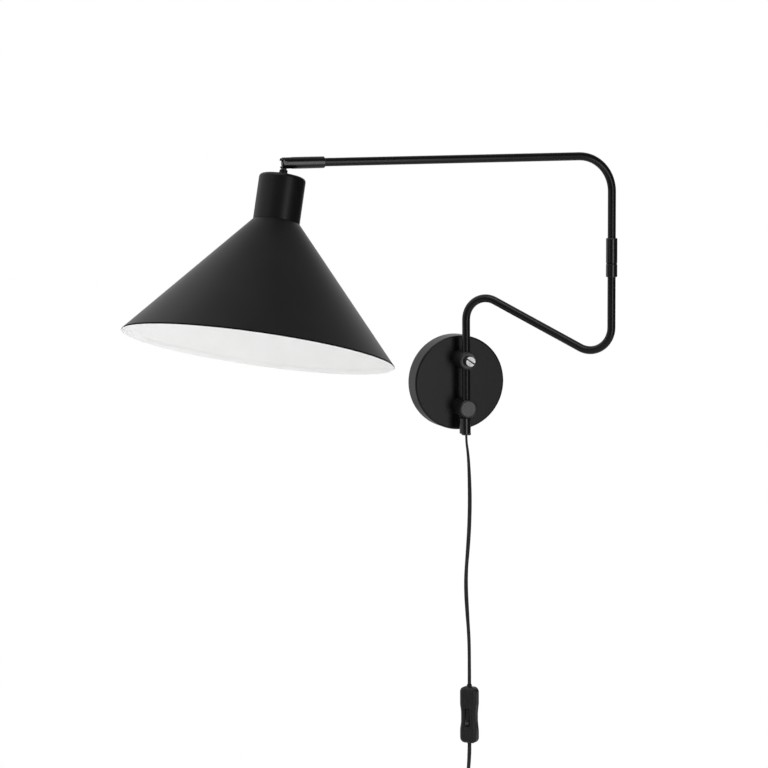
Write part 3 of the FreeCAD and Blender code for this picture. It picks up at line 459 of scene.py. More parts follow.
@dataclass(frozen=True)
class Webbing(Finish):
    """A black woven band: warp and weft that pass over each other, and a little fluff."""

    thread: float
    thread_depth: float = 0.12 * MM
    specular: float = 0.2
    fluff: float = 0.4 * MM

    def sockets(self, shader: Shader) -> Dict[str, Any]:
        """The weave.

        Args:
            shader: the material's shader.

        Returns:
            A bump and a colour that follow the product of two sines, one along the band's run and one up
            its width, so that raised threads lie as on a chequerboard.
        """
        place = shader.place()
        run = shader.part(shader.add("ShaderNodeTexCoord", out="UV"), "X")
        pace = math.pi / self.thread
        weave = (run * pace).sine() * (shader.part(place, "Z") * pace).sine() * 0.5 + 0.5
        fluff = shader.noise(place, self.fluff, 3.0)
        return {
            "Base Color": shader.blend((weave * 0.6 + fluff * 0.4).step(0.2, 0.8), self.deep, self.pale),
            "Roughness": self.sheen + fluff * 0.2,
            "Specular IOR Level": self.specular,
            "Normal": shader.bump(weave * 0.8 + fluff * 0.2, self.thread_depth),
        }


class Finishes:
    """The lamp's materials, one for each finish."""

    def __init__(self) -> None:
        """Builds every material once."""
        black = {"deep": grey(0.0030, 0.0001), "pale": grey(0.0052, 0.0002)}
        self.shade_paint = Paint("satin_black_shade_paint", sheen=0.39, specular=0.138, **black).material()
        self.fold_paint = Paint("matt_black_fold_paint", sheen=0.62, specular=0.02, **black).material()
        self.cover_paint = Paint("satin_black_cover_paint", sheen=0.38, specular=0.15, **black).material()
        self.tube_paint = Paint("satin_black_tube_paint", sheen=0.28, specular=0.15,
                                peel_depth=0.0006 * MM, **black).material()
        self.sleeve_paint = Paint("glossy_black_sleeve_paint", sheen=0.24, specular=0.28,
                                  peel_depth=0.0003 * MM, **black).material()
        self.post_paint = FacedPaint("satin_black_post_paint", sheen=0.44, specular=0.20, **black).material()
        self.lining_paint = Paint("white_lining_paint", deep=grey(0.83, -0.005), pale=grey(0.87, -0.005),
                                  sheen=0.46, specular=0.4).material()
        # The clamp screw's black is painted shade behind its bright face.
        self.clamp_steel = TurnedMetal("bright_clamp_steel", deep=grey(0.22, 0.004), pale=grey(0.30, 0.004),
                                       black=grey(0.03, 0.001), sheen=0.28,
                                       centre=(0.0, -64.5 * MM, 30.5 * MM)).material()
        self.plain_steel = DrawnMetal("zinc_plated_steel", deep=(0.36, 0.37, 0.38), pale=(0.56, 0.57, 0.58),
                                      sheen=0.32, streak=(0.8 * MM, 0.8 * MM, 14 * MM)).material()
        self.brass = DrawnMetal("plain_brass", deep=(0.50, 0.34, 0.12), pale=(0.72, 0.54, 0.24),
                                sheen=0.26, streak=(9 * MM, 9 * MM, 0.7 * MM)).material()
        self.prong_metal = DrawnMetal("plated_prongs", deep=(0.60, 0.59, 0.56), pale=(0.78, 0.77, 0.74),
                                      sheen=0.18, streak=(0.5 * MM, 0.5 * MM, 12 * MM)).material()
        self.holder_black = Moulding("holder_black_moulding", deep=grey(0.012), pale=grey(0.022),
                                     sheen=0.42, grain=0.5 * MM, grain_depth=0.01 * MM).material()
        self.switch_black = Moulding("switch_black_moulding", deep=grey(0.005), pale=grey(0.009), sheen=0.44,
                                     grain=0.45 * MM, grain_depth=0.02 * MM, specular=0.15).material()
        self.rocker_black = Moulding("rocker_black_moulding", deep=grey(0.004), pale=grey(0.007), sheen=0.30,
                                     grain=0.5 * MM, grain_depth=0.004 * MM, specular=0.12).material()
        # The rocker pad's paler grey is a painted highlight, where its raised lower end catches the light.
        self.pad_painted_highlight = Moulding("rocker_pad_painted_highlight_moulding", deep=grey(0.018, 0.0003),
                                 pale=grey(0.026, 0.0003), sheen=0.40, grain=0.3 * MM,
                                 grain_depth=0.006 * MM, specular=0.3).material()
        self.band_black = Webbing("black_band_weave", deep=grey(0.006), pale=grey(0.022), sheen=0.75,
                                  thread=0.5 * MM).material()
        self.bush_black = Moulding("bush_black_moulding", deep=grey(0.006), pale=grey(0.010), sheen=0.36,
                                   grain=0.6 * MM, grain_depth=0.008 * MM).material()
        self.cord_black = Sheath("black_cord_sheath", deep=grey(0.006), pale=grey(0.012),
                                 sheen=0.42).material()

    def dress(self, material: bpy.types.Material, *names: str) -> None:
        """Gives solids of the frame a material.

        Args:
            material: the finish.
            names: the solids' names.
        """
        for name in names:
            for holder in frame["nodes"][name].material_slots:
                holder.material = material
            log.info("dressed %s in %s", name, material.name)


def around(steps: int) -> np.ndarray:
    """Angles in radians, spread evenly once round."""
    return np.linspace(0, 2 * math.pi, steps, endpoint=False)


@dataclass(frozen=True)
class Axes:
    """A place in the lamp: an origin and three directions at right angles."""

    origin: np.ndarray
    x: np.ndarray
    y: np.ndarray
    z: np.ndarray

    @staticmethod
    def along(origin: Sequence[float], axis: Sequence[float], aside: Sequence[float] = (1, 0, 0)) -> "Axes":
        """Axes whose z runs along an axis.

        Args:
            origin: the origin.
            axis: the direction of z.
            aside: any direction that x should lean towards.

        Returns:
            The axes: x is aside with its part along z taken out, y completes the set.
        """
        z = np.asarray(axis, float) / np.linalg.norm(axis)
        x = np.asarray(aside, float) - np.dot(aside, z) * z
        x = x / np.linalg.norm(x)
        return Axes(np.asarray(origin, float), x, np.cross(z, x), z)

    def put(self, x: np.ndarray, y: np.ndarray, z: np.ndarray) -> np.ndarray:
        """Points of the lamp for coordinates in these axes: origin + x X + y Y + z Z."""
        x, y, z = np.broadcast_arrays(x, y, z)
        return self.origin + x[..., None] * self.x + y[..., None] * self.y + z[..., None] * self.z

    def spun(self, radius: np.ndarray, angle: np.ndarray, height: np.ndarray) -> np.ndarray:
        """Points round z: (r cos a, r sin a, h)."""
        return self.put(radius * np.cos(angle), radius * np.sin(angle), height)

    def turned(self, profile: np.ndarray, steps: int) -> np.ndarray:
        """A profile of (radius, height) spun once round z, a row for each of its points."""
        return self.spun(profile[:, 0, None], around(steps), profile[:, 1, None])


def stand(name: str, data: bpy.types.ID, seat: Optional[Axes] = None) -> bpy.types.Object:
    """Puts a new object into the scene.

    Args:
        name: its name.
        data: its mesh, curve, light or camera.
        seat: where it stands and how it is turned, if it is not at the origin.

    Returns:
        The object.
    """
    made = bpy.data.objects.new(name, data)
    if seat is not None:
        turn = np.eye(4)
        turn[:3, :] = np.column_stack([seat.x, seat.y, seat.z, seat.origin])
        made.matrix_world = Matrix(turn.tolist())
    bpy.context.scene.collection.objects.link(made)
    return made


@dataclass
class Surface:
    """A grid of points that becomes a mesh: rows that follow each other, each of them closed to a ring."""

    points: np.ndarray
    bands: Optional[np.ndarray] = None
    run: Optional[np.ndarray] = None

    def mesh(self, name: str) -> bpy.types.Mesh:
        """Makes a mesh with one quad for each cell.

        Args:
            name: the mesh's name.

        Returns:
            The mesh: each cell's corners in turn, with the last column joined to the first.
        """
        rows, columns = self.points.shape[:2]
        first = np.arange(rows - 1)[:, None] * columns
        column = np.arange(columns)[None, :]
        second, beside = first + columns, (column + 1) % columns
        corners = np.broadcast_arrays(first + column, first + beside, second + beside, second + column)
        made = bpy.data.meshes.new(name)
        made.from_pydata(self.points.reshape(-1, 3).tolist(), [],
                         np.stack(corners, axis=-1).reshape(-1, 4).tolist())
        return made

    def piece(self, name: str, body: Body, slot: Slot, materials: Sequence[bpy.types.Material],
              stands_for: Sequence[str] = (), sharp: float = 40.0) -> bpy.types.Object:
        """Makes the mesh and puts it on its body.

        Args:
            name: the piece's name.
            body: what it moves with.
            slot: the record's finish that it takes; not used.
            materials: its materials, chosen for each row by bands.
            stands_for: solids of the frame that it replaces.
            sharp: edges turning by more than this many degrees stay crisp.

        Returns:
            The object, at the origin with its place in its mesh.
        """
        mesh = self.mesh(name)
        if self.bands is not None:
            chosen = np.repeat(self.bands, self.points.shape[1])
            mesh.polygons.foreach_set("material_index", chosen.astype(np.int32))
        if self.run is not None:
            self._lay_run(mesh)
        work = bmesh.new()
        work.from_mesh(mesh)
        bmesh.ops.remove_doubles(work, verts=work.verts, dist=WELD)
        bmesh.ops.recalc_face_normals(work, faces=work.faces)
        work.to_mesh(mesh)
        work.free()
        mesh.polygons.foreach_set("use_smooth", np.ones(len(mesh.polygons), dtype=bool))
        mesh.set_sharp_from_angle(angle=math.radians(sharp))
        for material in materials:
            mesh.materials.append(material)
        made = stand(name, mesh)
        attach(made, body.value)
        if stands_for:
            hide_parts(*stands_for)
        log.info("made %s: %d faces", name, len(mesh.polygons))
        return made

    def _lay_run(self, mesh: bpy.types.Mesh) -> None:
        """Writes a UV map: u is the row's place along the run, v goes once round the columns.

        Args:
            mesh: the mesh, still with one face for each cell in order.
        """
        columns = self.points.shape[1]
        along = np.stack([self.run[:-1], self.run[:-1], self.run[1:], self.run[1:]], axis=-1)
        turn = np.arange(columns) / columns
        across = np.stack([turn, turn + 1 / columns, turn + 1 / columns, turn], axis=-1)
        spread = np.stack(np.broadcast_arrays(along[:, None, :], across[None]), axis=-1)
        mesh.uv_layers.new(name="run").data.foreach_set("uv", spread.astype(np.float32).ravel())


def arc(centre: Pair, radius: float, start: float, end: float, steps: int) -> np.ndarray:
    """Points on an arc: centre + radius (cos a, sin a) for angles spread evenly from start to end."""
    angle = np.radians(np.linspace(start, end, steps))
    return np.stack([centre[0] + radius * np.cos(angle), centre[1] + radius * np.sin(angle)], axis=-1)


def rounded_box(half: float, tall: float, corner: float, on_arc: int = 9, on_side: int = 24) -> np.ndarray:
    """The outline of a box with round corners.

    Args:
        half: half its width.
        tall: half its height.
        corner: the corners' radius.
        on_arc: points on each corner.
        on_side: points between two corners.

    Returns:
        Points anticlockwise as (x, y): for each corner in turn an arc of a quarter turn, then the straight
        side to the next corner's arc. Two such outlines have the same number of points in the same order.
    """
    angle = np.radians(np.arange(4)[:, None] * 90 + np.linspace(0, 90, on_arc))
    sides = np.array([[1, 1], [-1, 1], [-1, -1], [1, -1]]) * (half - corner, tall - corner)
    arcs = sides[:, None] + corner * np.stack([np.cos(angle), np.sin(angle)], axis=-1)
    share = np.linspace(0, 1, on_side + 2)[1:-1, None]
    runs = arcs[:, -1:] + (np.roll(arcs[:, 0], -1, axis=0)[:, None] - arcs[:, -1:]) * share
    return np.concatenate([arcs, runs], axis=1).reshape(-1, 2)


def outward(outline: np.ndarray) -> np.ndarray:
    """Directions square to an anticlockwise outline: the chord of each point's neighbours, turned out."""
    chord = np.roll(outline, -1, axis=0) - np.roll(outline, 1, axis=0)
    return np.stack([chord[:, 1], -chord[:, 0]], axis=-1) / np.linalg.norm(chord, axis=1, keepdims=True)


def run_of(path: np.ndarray) -> np.ndarray:
    """Distance along a path at each of its points."""
    return np.concatenate([[0.0], np.cumsum(np.linalg.norm(np.diff(path, axis=0), axis=1))])


def swept(path: np.ndarray, grid: np.ndarray, ends: np.ndarray) -> Surface:
    """A section carried along a path and closed at both ends.

    Args:
        path: the path's points.
        grid: the section's points at each point of the path.
        ends: the two points that close the first and the last section.

    Returns:
        The surface, with a row more at each end whose points all lie on that end's point, and with the
        distance along the path as its run.
    """
    run = run_of(path)
    caps = np.broadcast_to(ends[:, None], (2, *grid.shape[1:]))
    return Surface(np.concatenate([caps[:1], grid, caps[1:]]), run=np.concatenate([run[:1], run, run[-1:]]))


@dataclass
class WallGroup:
    """The wall cover with its posts, the strap behind it and the bright clamp screw."""

    finishes: Finishes

    def build(self) -> None:
        """Dresses the solids of the group."""
        finishes = self.finishes
        finishes.dress(finishes.cover_paint, "wall_cover")
        finishes.dress(finishes.post_paint, "post_upper", "post_lower")
        finishes.dress(finishes.clamp_steel, "clamp_screw")
        finishes.dress(finishes.plain_steel, "wall_bracket", "cover_screw", "post_screws")


@dataclass
class Arms:
    """The two bent tubes with their collars, sleeves, pins and set screws."""

    finishes: Finishes

    def build(self) -> None:
        """Dresses the solids of both arms and of the swivel."""
        finishes = self.finishes
        finishes.dress(finishes.tube_paint, "lower_arm", "upper_arm")
        finishes.dress(finishes.sleeve_paint, "foot_collar", "mid_collar", "mid_washer", "mid_sleeve",
                       "end_collar", "swivel_fork", "hinge_pin")
        finishes.dress(finishes.shade_paint, "hinge_stub")
        finishes.dress(finishes.plain_steel, "foot_grub", "mid_pin", "mid_grub", "end_axle", "swivel_grub",
                       "stub_nut")
        finishes.dress(finishes.bush_black, "cord_bush")


@dataclass
class Shade:
    """The cone of sheet steel with its neck, ring and lamp holder; heights are measured from its pivot."""

    finishes: Finishes
    pivot: Triple = (-286.909 * MM, -198.860 * MM, 291.8 * MM)
    axis: Triple = (-0.210813, -0.170757, -0.962497)
    top: float = 70.2 * MM
    top_radius: float = 27.65 * MM
    top_round: float = 0.6 * MM
    hole: float = 19.6 * MM
    rim: float = 222.8 * MM
    rim_radius: float = 161.3 * MM
    sheet: float = 0.8 * MM
    hem: float = 4.0 * MM
    taper: float = 3.2 * MM
    fold: float = 1.2 * MM
    top_rows: int = 4
    round_rows: int = 5
    side_rows: int = 24
    edge_rows: int = 15
    fold_rows: int = 9
    hem_rows: int = 6
    ring_radius: float = 25.5 * MM
    ring_height: float = 8.0 * MM
    ring_ribs: int = 40
    rib_points: int = 8
    rib_depth: float = 0.5 * MM
    rib_steep: float = 1.2
    shell_top: float = 53.0 * MM
    shell_foot: float = 79.0 * MM
    shell_radius: float = 13.45 * MM
    shell_sheet: float = 0.5 * MM
    shell_rows: int = 120
    shell_steps: int = 64
    thread_pitch: float = 3.62 * MM
    thread_depth: float = 0.38 * MM
    thread_fade: float = 2.0 * MM
    steps: int = 192

    def seat(self) -> Axes:
        """Axes at the shade's pivot, with z down its middle line."""
        return Axes.along(self.pivot, self.axis)

    def cone_profile(self) -> Tuple[np.ndarray, np.ndarray]:
        """The sheet's outline and its three paints.

        Returns:
            The profile in (radius, height) from the hole's upper edge over the flat top, straight down the
            outside, round the folded edge, over the hem that is turned in and pressed flat and up the
            inside back to the hole, and for each row after the first 0 where it is black, 1 where it is
            white and 2 on the fold.
        """
        shoulder, rim = np.array([self.top_radius, self.top]), np.array([self.rim_radius, self.rim])
        slope = (rim - shoulder) / np.linalg.norm(rim - shoulder)
        out = np.array([slope[1], -slope[0]])
        lean = math.degrees(math.atan2(out[1], out[0]))
        fold = rim - (slope + out) * self.sheet
        hem = fold - slope * self.hem
        span = np.linspace(0, 1, self.side_rows)[:, None]
        top_end = self.top_radius - self.top_round
        top = np.linspace([self.hole, self.top], [top_end, self.top], self.top_rows)
        round_top = arc((top_end, self.top + self.top_round), self.top_round, -90, lean, self.round_rows)
        foot = fold + out * self.sheet
        outside = round_top[-1] + (foot - slope * self.fold - round_top[-1]) * span
        outside = np.append(outside, foot[None], axis=0)
        edge = arc(tuple(fold), self.sheet, lean, lean + 180, self.edge_rows)
        pressed = np.linspace(0, 1, self.hem_rows)[:, None]
        sunk = self.sheet * (0.5 + 0.5 * np.cos(math.pi * pressed))
        turned_in = hem - out * sunk - slope * self.taper * pressed
        start = hem - slope * (self.taper + self.sheet)
        inside = start + (shoulder - out * self.sheet + slope * self.sheet - start) * span
        ceiling = self.top + self.sheet
        under = np.linspace([self.top_radius - self.sheet, ceiling], [self.hole, ceiling], self.top_rows)
        profile = np.concatenate([top, round_top, outside, edge, turned_in, inside, under, top[:1]])
        fold_from = len(top) + len(round_top) + len(outside) - 2
        row = np.arange(len(profile) - 1)
        return profile, np.where(row < fold_from, 0, np.where(row < fold_from + self.fold_rows, 2, 1))

    def ring_grid(self) -> np.ndarray:
        """The clamping ring, with ribs to grip it by.

        Returns:
            A closed profile spun about the middle line, whose outer side is drawn in between the ribs: the
            radius falls by the ribs' depth where the cosine of the ribs' angle is low.
        """
        top, inner, outer = self.top + self.sheet, self.hole, self.ring_radius
        foot = top + self.ring_height
        rows = np.array([
            (inner, top, 0), (outer, top, 0), (outer, top + 1.2 * MM, 0), (outer, top + 1.6 * MM, 1),
            (outer, foot - 1.4 * MM, 1), (outer - 0.1 * MM, foot - 1.0 * MM, 0),
            (outer - 0.3 * MM, foot - 0.5 * MM, 0), (outer - 0.9 * MM, foot, 0),
            (inner + 0.8 * MM, foot, 0), (inner, foot - 0.8 * MM, 0), (inner, top, 0)])
        angle = around(self.ring_ribs * self.rib_points)
        groove = np.clip(0.5 - self.rib_steep * np.cos(self.ring_ribs * angle), 0, 1) * self.rib_depth
        return self.seat().spun(rows[:, 0, None] - rows[:, 2, None] * groove, angle, rows[:, 1, None])

    def shell_grid(self) -> np.ndarray:
        """The threaded shell of the lamp holder, rolled from thin sheet.

        Returns:
            Radius = middle + depth sin(2 pi height / pitch - angle), which is a screw thread, with the depth
            fading out at both ends; the outer side runs down, the inner side runs up one sheet inside it.
        """
        height = np.linspace(self.shell_top, self.shell_foot, self.shell_rows)[:, None]
        angle = around(self.shell_steps)
        to_end = np.minimum(height - self.shell_top, self.shell_foot - height)
        depth = self.thread_depth * np.clip(to_end / self.thread_fade, 0, 1)
        radius = self.shell_radius + depth * np.sin(2 * math.pi * height / self.thread_pitch - angle)
        outer, inner = radius + self.shell_sheet / 2, radius - self.shell_sheet / 2
        sides = np.concatenate([outer, inner[::-1], outer[:1]])
        return self.seat().spun(sides, angle, np.concatenate([height, height[::-1], height[:1]]))

    def build(self) -> None:
        """Makes the two-coloured cone, the ribbed ring and the threaded shell, and dresses the rest."""
        finishes = self.finishes
        profile, bands = self.cone_profile()
        cone = Surface(self.seat().turned(profile, self.steps), bands=bands)
        cone.piece("shade_sheet", Body.SHADE, Slot.SHADE_PAINT,
                   [finishes.shade_paint, finishes.lining_paint, finishes.fold_paint], ["shade_cone"])
        Surface(self.ring_grid()).piece("ribbed_ring", Body.SHADE, Slot.HOLDER_BLACK,
                                        [finishes.holder_black], ["shade_ring"])
        Surface(self.shell_grid()).piece("threaded_shell", Body.SHADE, Slot.BRASS, [finishes.brass],
                                         ["holder_shell"])
        finishes.dress(finishes.shade_paint, "neck_cup")
        finishes.dress(finishes.holder_black, "lamp_holder")
        finishes.dress(finishes.brass, "holder_contact")


@dataclass
class Switch:
    """The in-line switch on the cord: a waisted case in two halves, and a rocker in a well.

    Rings are pairs of (inset, height) in millimetres.
    """

    finishes: Finishes
    centre: Triple = (3.7 * MM, -48.0 * MM, -425.1 * MM)
    turn: float = 47.75
    half_width: float = 11.5 * MM
    half_length: float = 36.3 * MM
    corner: float = 6.5 * MM
    waist: float = 10.1 * MM
    waist_from: float = 5.0 * MM
    waist_to: float = 18.0 * MM
    depth: float = 7.0 * MM
    drop: float = 2.8 * MM
    case_rings: Sequence[Pair] = ((0.40, 0.0), (0.0, 0.35), (0.0, 3.7), (0.1, 4.05), (0.4, 4.45),
                                  (2.55, 6.55), (2.9, 6.85), (3.4, 7.0))
    well_half: float = 3.5 * MM
    well_tall: float = 11.5 * MM
    well_corner: float = 0.7 * MM
    well_depth: float = 5.0 * MM
    well_rings: Sequence[Pair] = ((-0.5, 7.0), (-0.2, 6.9), (0.0, 6.6), (0.0, 2.0))
    rocker_half: float = 3.2 * MM
    rocker_reach: float = 10.9 * MM
    rocker_rise: float = 2.3 * MM
    rocker_dish: float = 1.1 * MM
    rocker_power: float = 1.5
    rocker_edge: float = 0.8 * MM
    rocker_keel: float = 1.15 * MM
    rocker_lean: float = 7.0
    rocker_rows: int = 61
    keel_rows: int = 9
    rocker_across: Sequence[Pair] = ((-1, 0), (-1, 0.34), (-0.96, 0.1), (-0.88, 0), (0.88, 0), (0.96, 0.1),
                                     (1, 0.34), (1, 0))
    pad_half: float = 2.5 * MM
    pad_tall: float = 1.55 * MM
    pad_corner: float = 0.7 * MM
    pad_place: float = -7.6 * MM
    pad_rings: Sequence[Pair] = ((0.0, -0.3), (0.0, 0.22), (0.1, 0.38), (0.35, 0.45))

    def seat(self) -> Axes:
        """Axes at the switch's middle: x across it, y up and z out of its face."""
        across, out = cosine(self.turn), sine(self.turn)
        return Axes(np.array(self.centre), np.array([across, -out, 0.0]), np.array([0.0, 0.0, 1.0]),
                    np.array([-out, -across, 0.0]))

    def rocker_seat(self) -> Axes:
        """Axes at the rocker's axle, turned about x so that its upper end is sunk."""
        seat, along, aside = self.seat(), cosine(self.rocker_lean), sine(self.rocker_lean)
        axle = seat.origin + seat.z * (self.depth - self.well_depth / 2) - seat.y * self.drop
        return Axes(axle, seat.x, seat.y * along - seat.z * aside, seat.z * along + seat.y * aside)

    def cover_grid(self) -> np.ndarray:
        """The front half of the case.

        Returns:
            Rings from the joint line over the side, the slanted edge and the face to the well, down its
            wall to the middle of its floor. Each outer ring is the case's outline, which is a box with
            round corners drawn in to the waist by a smooth step, moved in by that ring's inset.
        """
        outline = rounded_box(self.half_width, self.half_length, self.corner)
        rise = (np.abs(outline[:, 1] + self.drop) - self.waist_from) / (self.waist_to - self.waist_from)
        rise = np.clip(rise, 0, 1)
        narrow = self.waist / self.half_width
        outline[:, 0] *= narrow + (1 - narrow) * rise * rise * (3 - 2 * rise)
        rings, lips = np.array(self.case_rings) * MM, np.array(self.well_rings) * MM
        outer = outline[None] - outward(outline)[None] * rings[:, 0, None, None]
        well = np.stack([rounded_box(self.well_half - inset, self.well_tall - inset, self.well_corner - inset)
                         for inset in lips[:, 0]])
        flat = np.concatenate([outer, np.concatenate([well, well[-1:] * 0]) - (0, self.drop)])
        heights = np.concatenate([rings[:, 1], lips[:, 1], lips[-1:, 1]])
        return self.seat().put(flat[..., 0], flat[..., 1], heights[:, None])

    def rocker_top(self, along: np.ndarray) -> np.ndarray:
        """Height of the rocker's top: a dish that rises towards both ends, with rounded ends.

        Args:
            along: distance up the rocker from its axle.

        Returns:
            The lowest height plus the dish's depth times a power of the distance, less a quarter circle
            over the last bit of each end.
        """
        far, edge = np.abs(along), self.rocker_edge
        rise = np.minimum(far / (self.rocker_reach - edge), 1) ** self.rocker_power
        past = np.clip((far - self.rocker_reach + edge) / edge, 0, 1)
        return self.rocker_rise - self.rocker_dish * (1 - rise) - edge * (1 - np.sqrt(1 - past * past))

    def rocker_grid(self) -> np.ndarray:
        """The rocker.

        Returns:
            Its side view, closed by a keel below, carried across its width; the top is lowered at both
            sides to round their edges, and each side is closed at its middle.
        """
        along = self.rocker_reach * np.sin(np.linspace(math.pi / 2, -math.pi / 2, self.rocker_rows))
        keel = np.linspace(-1, 1, self.keel_rows + 2)[1:-1]
        side_y = np.concatenate([along, self.rocker_reach * keel])
        across, drop = np.array(self.rocker_across, float).T[..., None]
        keel_z = np.broadcast_to(self.rocker_keel * (np.abs(keel) - 1), (len(across), len(keel)))
        side_z = np.concatenate([self.rocker_top(along) - drop * MM, keel_z], axis=1)
        kept = np.ones_like(across)
        kept[[0, -1]] = 0
        return self.rocker_seat().put(self.rocker_half * across, side_y * kept, side_z * kept)

    def pad_grid(self) -> np.ndarray:
        """The small raised pad on the rocker's lower end.

        Returns:
            A low pillow with round corners whose heights are added to the rocker's top under it.
        """
        rings = np.array(self.pad_rings) * MM
        flat = np.stack([rounded_box(self.pad_half - inset, self.pad_tall - inset, self.pad_corner - inset)
                         for inset in rings[:, 0]])
        flat = np.concatenate([flat, flat[-1:] * 0])
        along = flat[..., 1] + self.pad_place
        heights = np.append(rings[:, 1], rings[-1, 1])[:, None] + self.rocker_top(along)
        return self.rocker_seat().put(flat[..., 0], along, heights)

    def build(self) -> Sequence[bpy.types.Object]:
        """Makes the cover, the rocker and its pad, and dresses the rest.

        Returns:
            The pieces that hang on the cord.
        """
        finishes, nodes = self.finishes, frame["nodes"]
        cover = Surface(self.cover_grid()).piece("waisted_cover", Body.WALL, Slot.SWITCH_BLACK,
                                                 [finishes.switch_black], ["switch_cover"], sharp=50)
        Surface(self.rocker_grid()).piece("dished_rocker", Body.ROCKER, Slot.SWITCH_BLACK,
                                          [finishes.rocker_black], ["switch_rocker"])
        # The pad is painted a paler grey: a painted highlight on the rocker's raised lower end.
        Surface(self.pad_grid()).piece("rocker_pad", Body.ROCKER, Slot.SWITCH_BLACK, [finishes.pad_painted_highlight])
        finishes.dress(finishes.switch_black, "switch_base", "switch_glands")
        finishes.dress(finishes.plain_steel, "switch_screws")
        return [cover] + [nodes[name] for name in ("switch_base", "switch_screws", "switch_glands")]


@dataclass
class Plug:
    """The flat two-pin plug at the end of the cord, with its ribbed strain relief, and the coil's tie."""

    finishes: Finishes
    middle: Triple = (1.0 * MM, -42.8 * MM, -566.4 * MM)
    relief_length: float = 22.0 * MM
    relief_neck: float = 3.2 * MM
    relief_base: float = 4.6 * MM
    relief_rows: int = 90
    relief_steps: int = 40
    grooves: int = 5
    grooves_first: float = 0.04
    grooves_span: float = 0.8
    grooves_from: float = 0.12
    grooves_to: float = 0.9
    groove_depth: float = 0.9 * MM
    groove_steep: float = 1.6
    groove_flat: float = 0.3
    tie_middle: Triple = (-59.48 * MM, -45.4 * MM, -538.0 * MM)
    tie_half: float = 10.5 * MM
    tie_deep: float = 5.7 * MM
    tie_corner: float = 2.6 * MM
    tie_width: float = 8.0 * MM
    tie_thick: float = 1.1 * MM
    tie_edge: float = 0.4 * MM
    tie_start: int = 40
    tie_turns: float = 1.28
    tie_rise: float = 0.07
    tie_lift: float = 1.05
    tie_every: int = 3

    def relief_grid(self) -> np.ndarray:
        """The strain relief.

        Returns:
            A taper spun about the cord, whose radius falls into evenly spaced grooves: a cosine of the
            distance down it, flattened at its tops, takes the groove's depth off.
        """
        down = np.linspace(0, 1, self.relief_rows)
        phase = 2 * math.pi * self.grooves * (down - self.grooves_first) / self.grooves_span
        wave = np.clip(self.groove_steep * np.cos(phase) - self.groove_flat, 0, 1)
        wave = wave * ((down > self.grooves_from) & (down < self.grooves_to))
        taper = self.relief_neck + (self.relief_base - self.relief_neck) * down
        profile = np.column_stack([np.concatenate([[0.0], taper - self.groove_depth * wave, [0.0]]),
                                   np.concatenate([[0.0], down, [1.0]]) * self.relief_length])
        return Axes.along(self.middle, (0, 0, -1)).turned(profile, self.relief_steps)

    def tie_surface(self) -> Surface:
        """The woven band round the coil.

        Returns:
            A flat section carried once and a quarter round a box with round corners; over the last part it
            is lifted by its own thickness, so that its end lies on its start.
        """
        loop = rounded_box(self.tie_half, self.tie_deep, self.tie_corner)
        count = len(loop)
        turn = np.arange(int(count * self.tie_turns))
        at = (turn - self.tie_start) % count
        lift = np.clip((turn / count - 1 + self.tie_rise) / self.tie_rise, 0, 1)
        out = outward(loop)[at]
        path = loop[at] + out * lift[:, None] * self.tie_thick * self.tie_lift
        across = rounded_box(self.tie_width / 2, self.tie_thick / 2, self.tie_edge)[::self.tie_every]
        flat = path[:, None] + out[:, None] * across[None, :, 1, None]
        grid = Axes.along(self.tie_middle, (0, 0, 1)).put(flat[..., 0], flat[..., 1], across[None, :, 0])
        return swept(path, grid, grid[[0, -1]].mean(axis=1))

    def build(self) -> Sequence[bpy.types.Object]:
        """Makes the strain relief and the tie, and dresses the rest.

        Returns:
            The pieces that hang on the cord.
        """
        finishes, nodes = self.finishes, frame["nodes"]
        relief = Surface(self.relief_grid()).piece("ribbed_relief", Body.WALL, Slot.SWITCH_BLACK,
                                                   [finishes.switch_black], ["plug_relief"])
        tie = self.tie_surface().piece("woven_tie", Body.WALL, Slot.SWITCH_BLACK, [finishes.band_black],
                                       ["coil_tie"])
        finishes.dress(finishes.switch_black, "plug_body")
        finishes.dress(finishes.prong_metal, "plug_pins")
        return [relief, tie, nodes["plug_body"], nodes["plug_pins"]]


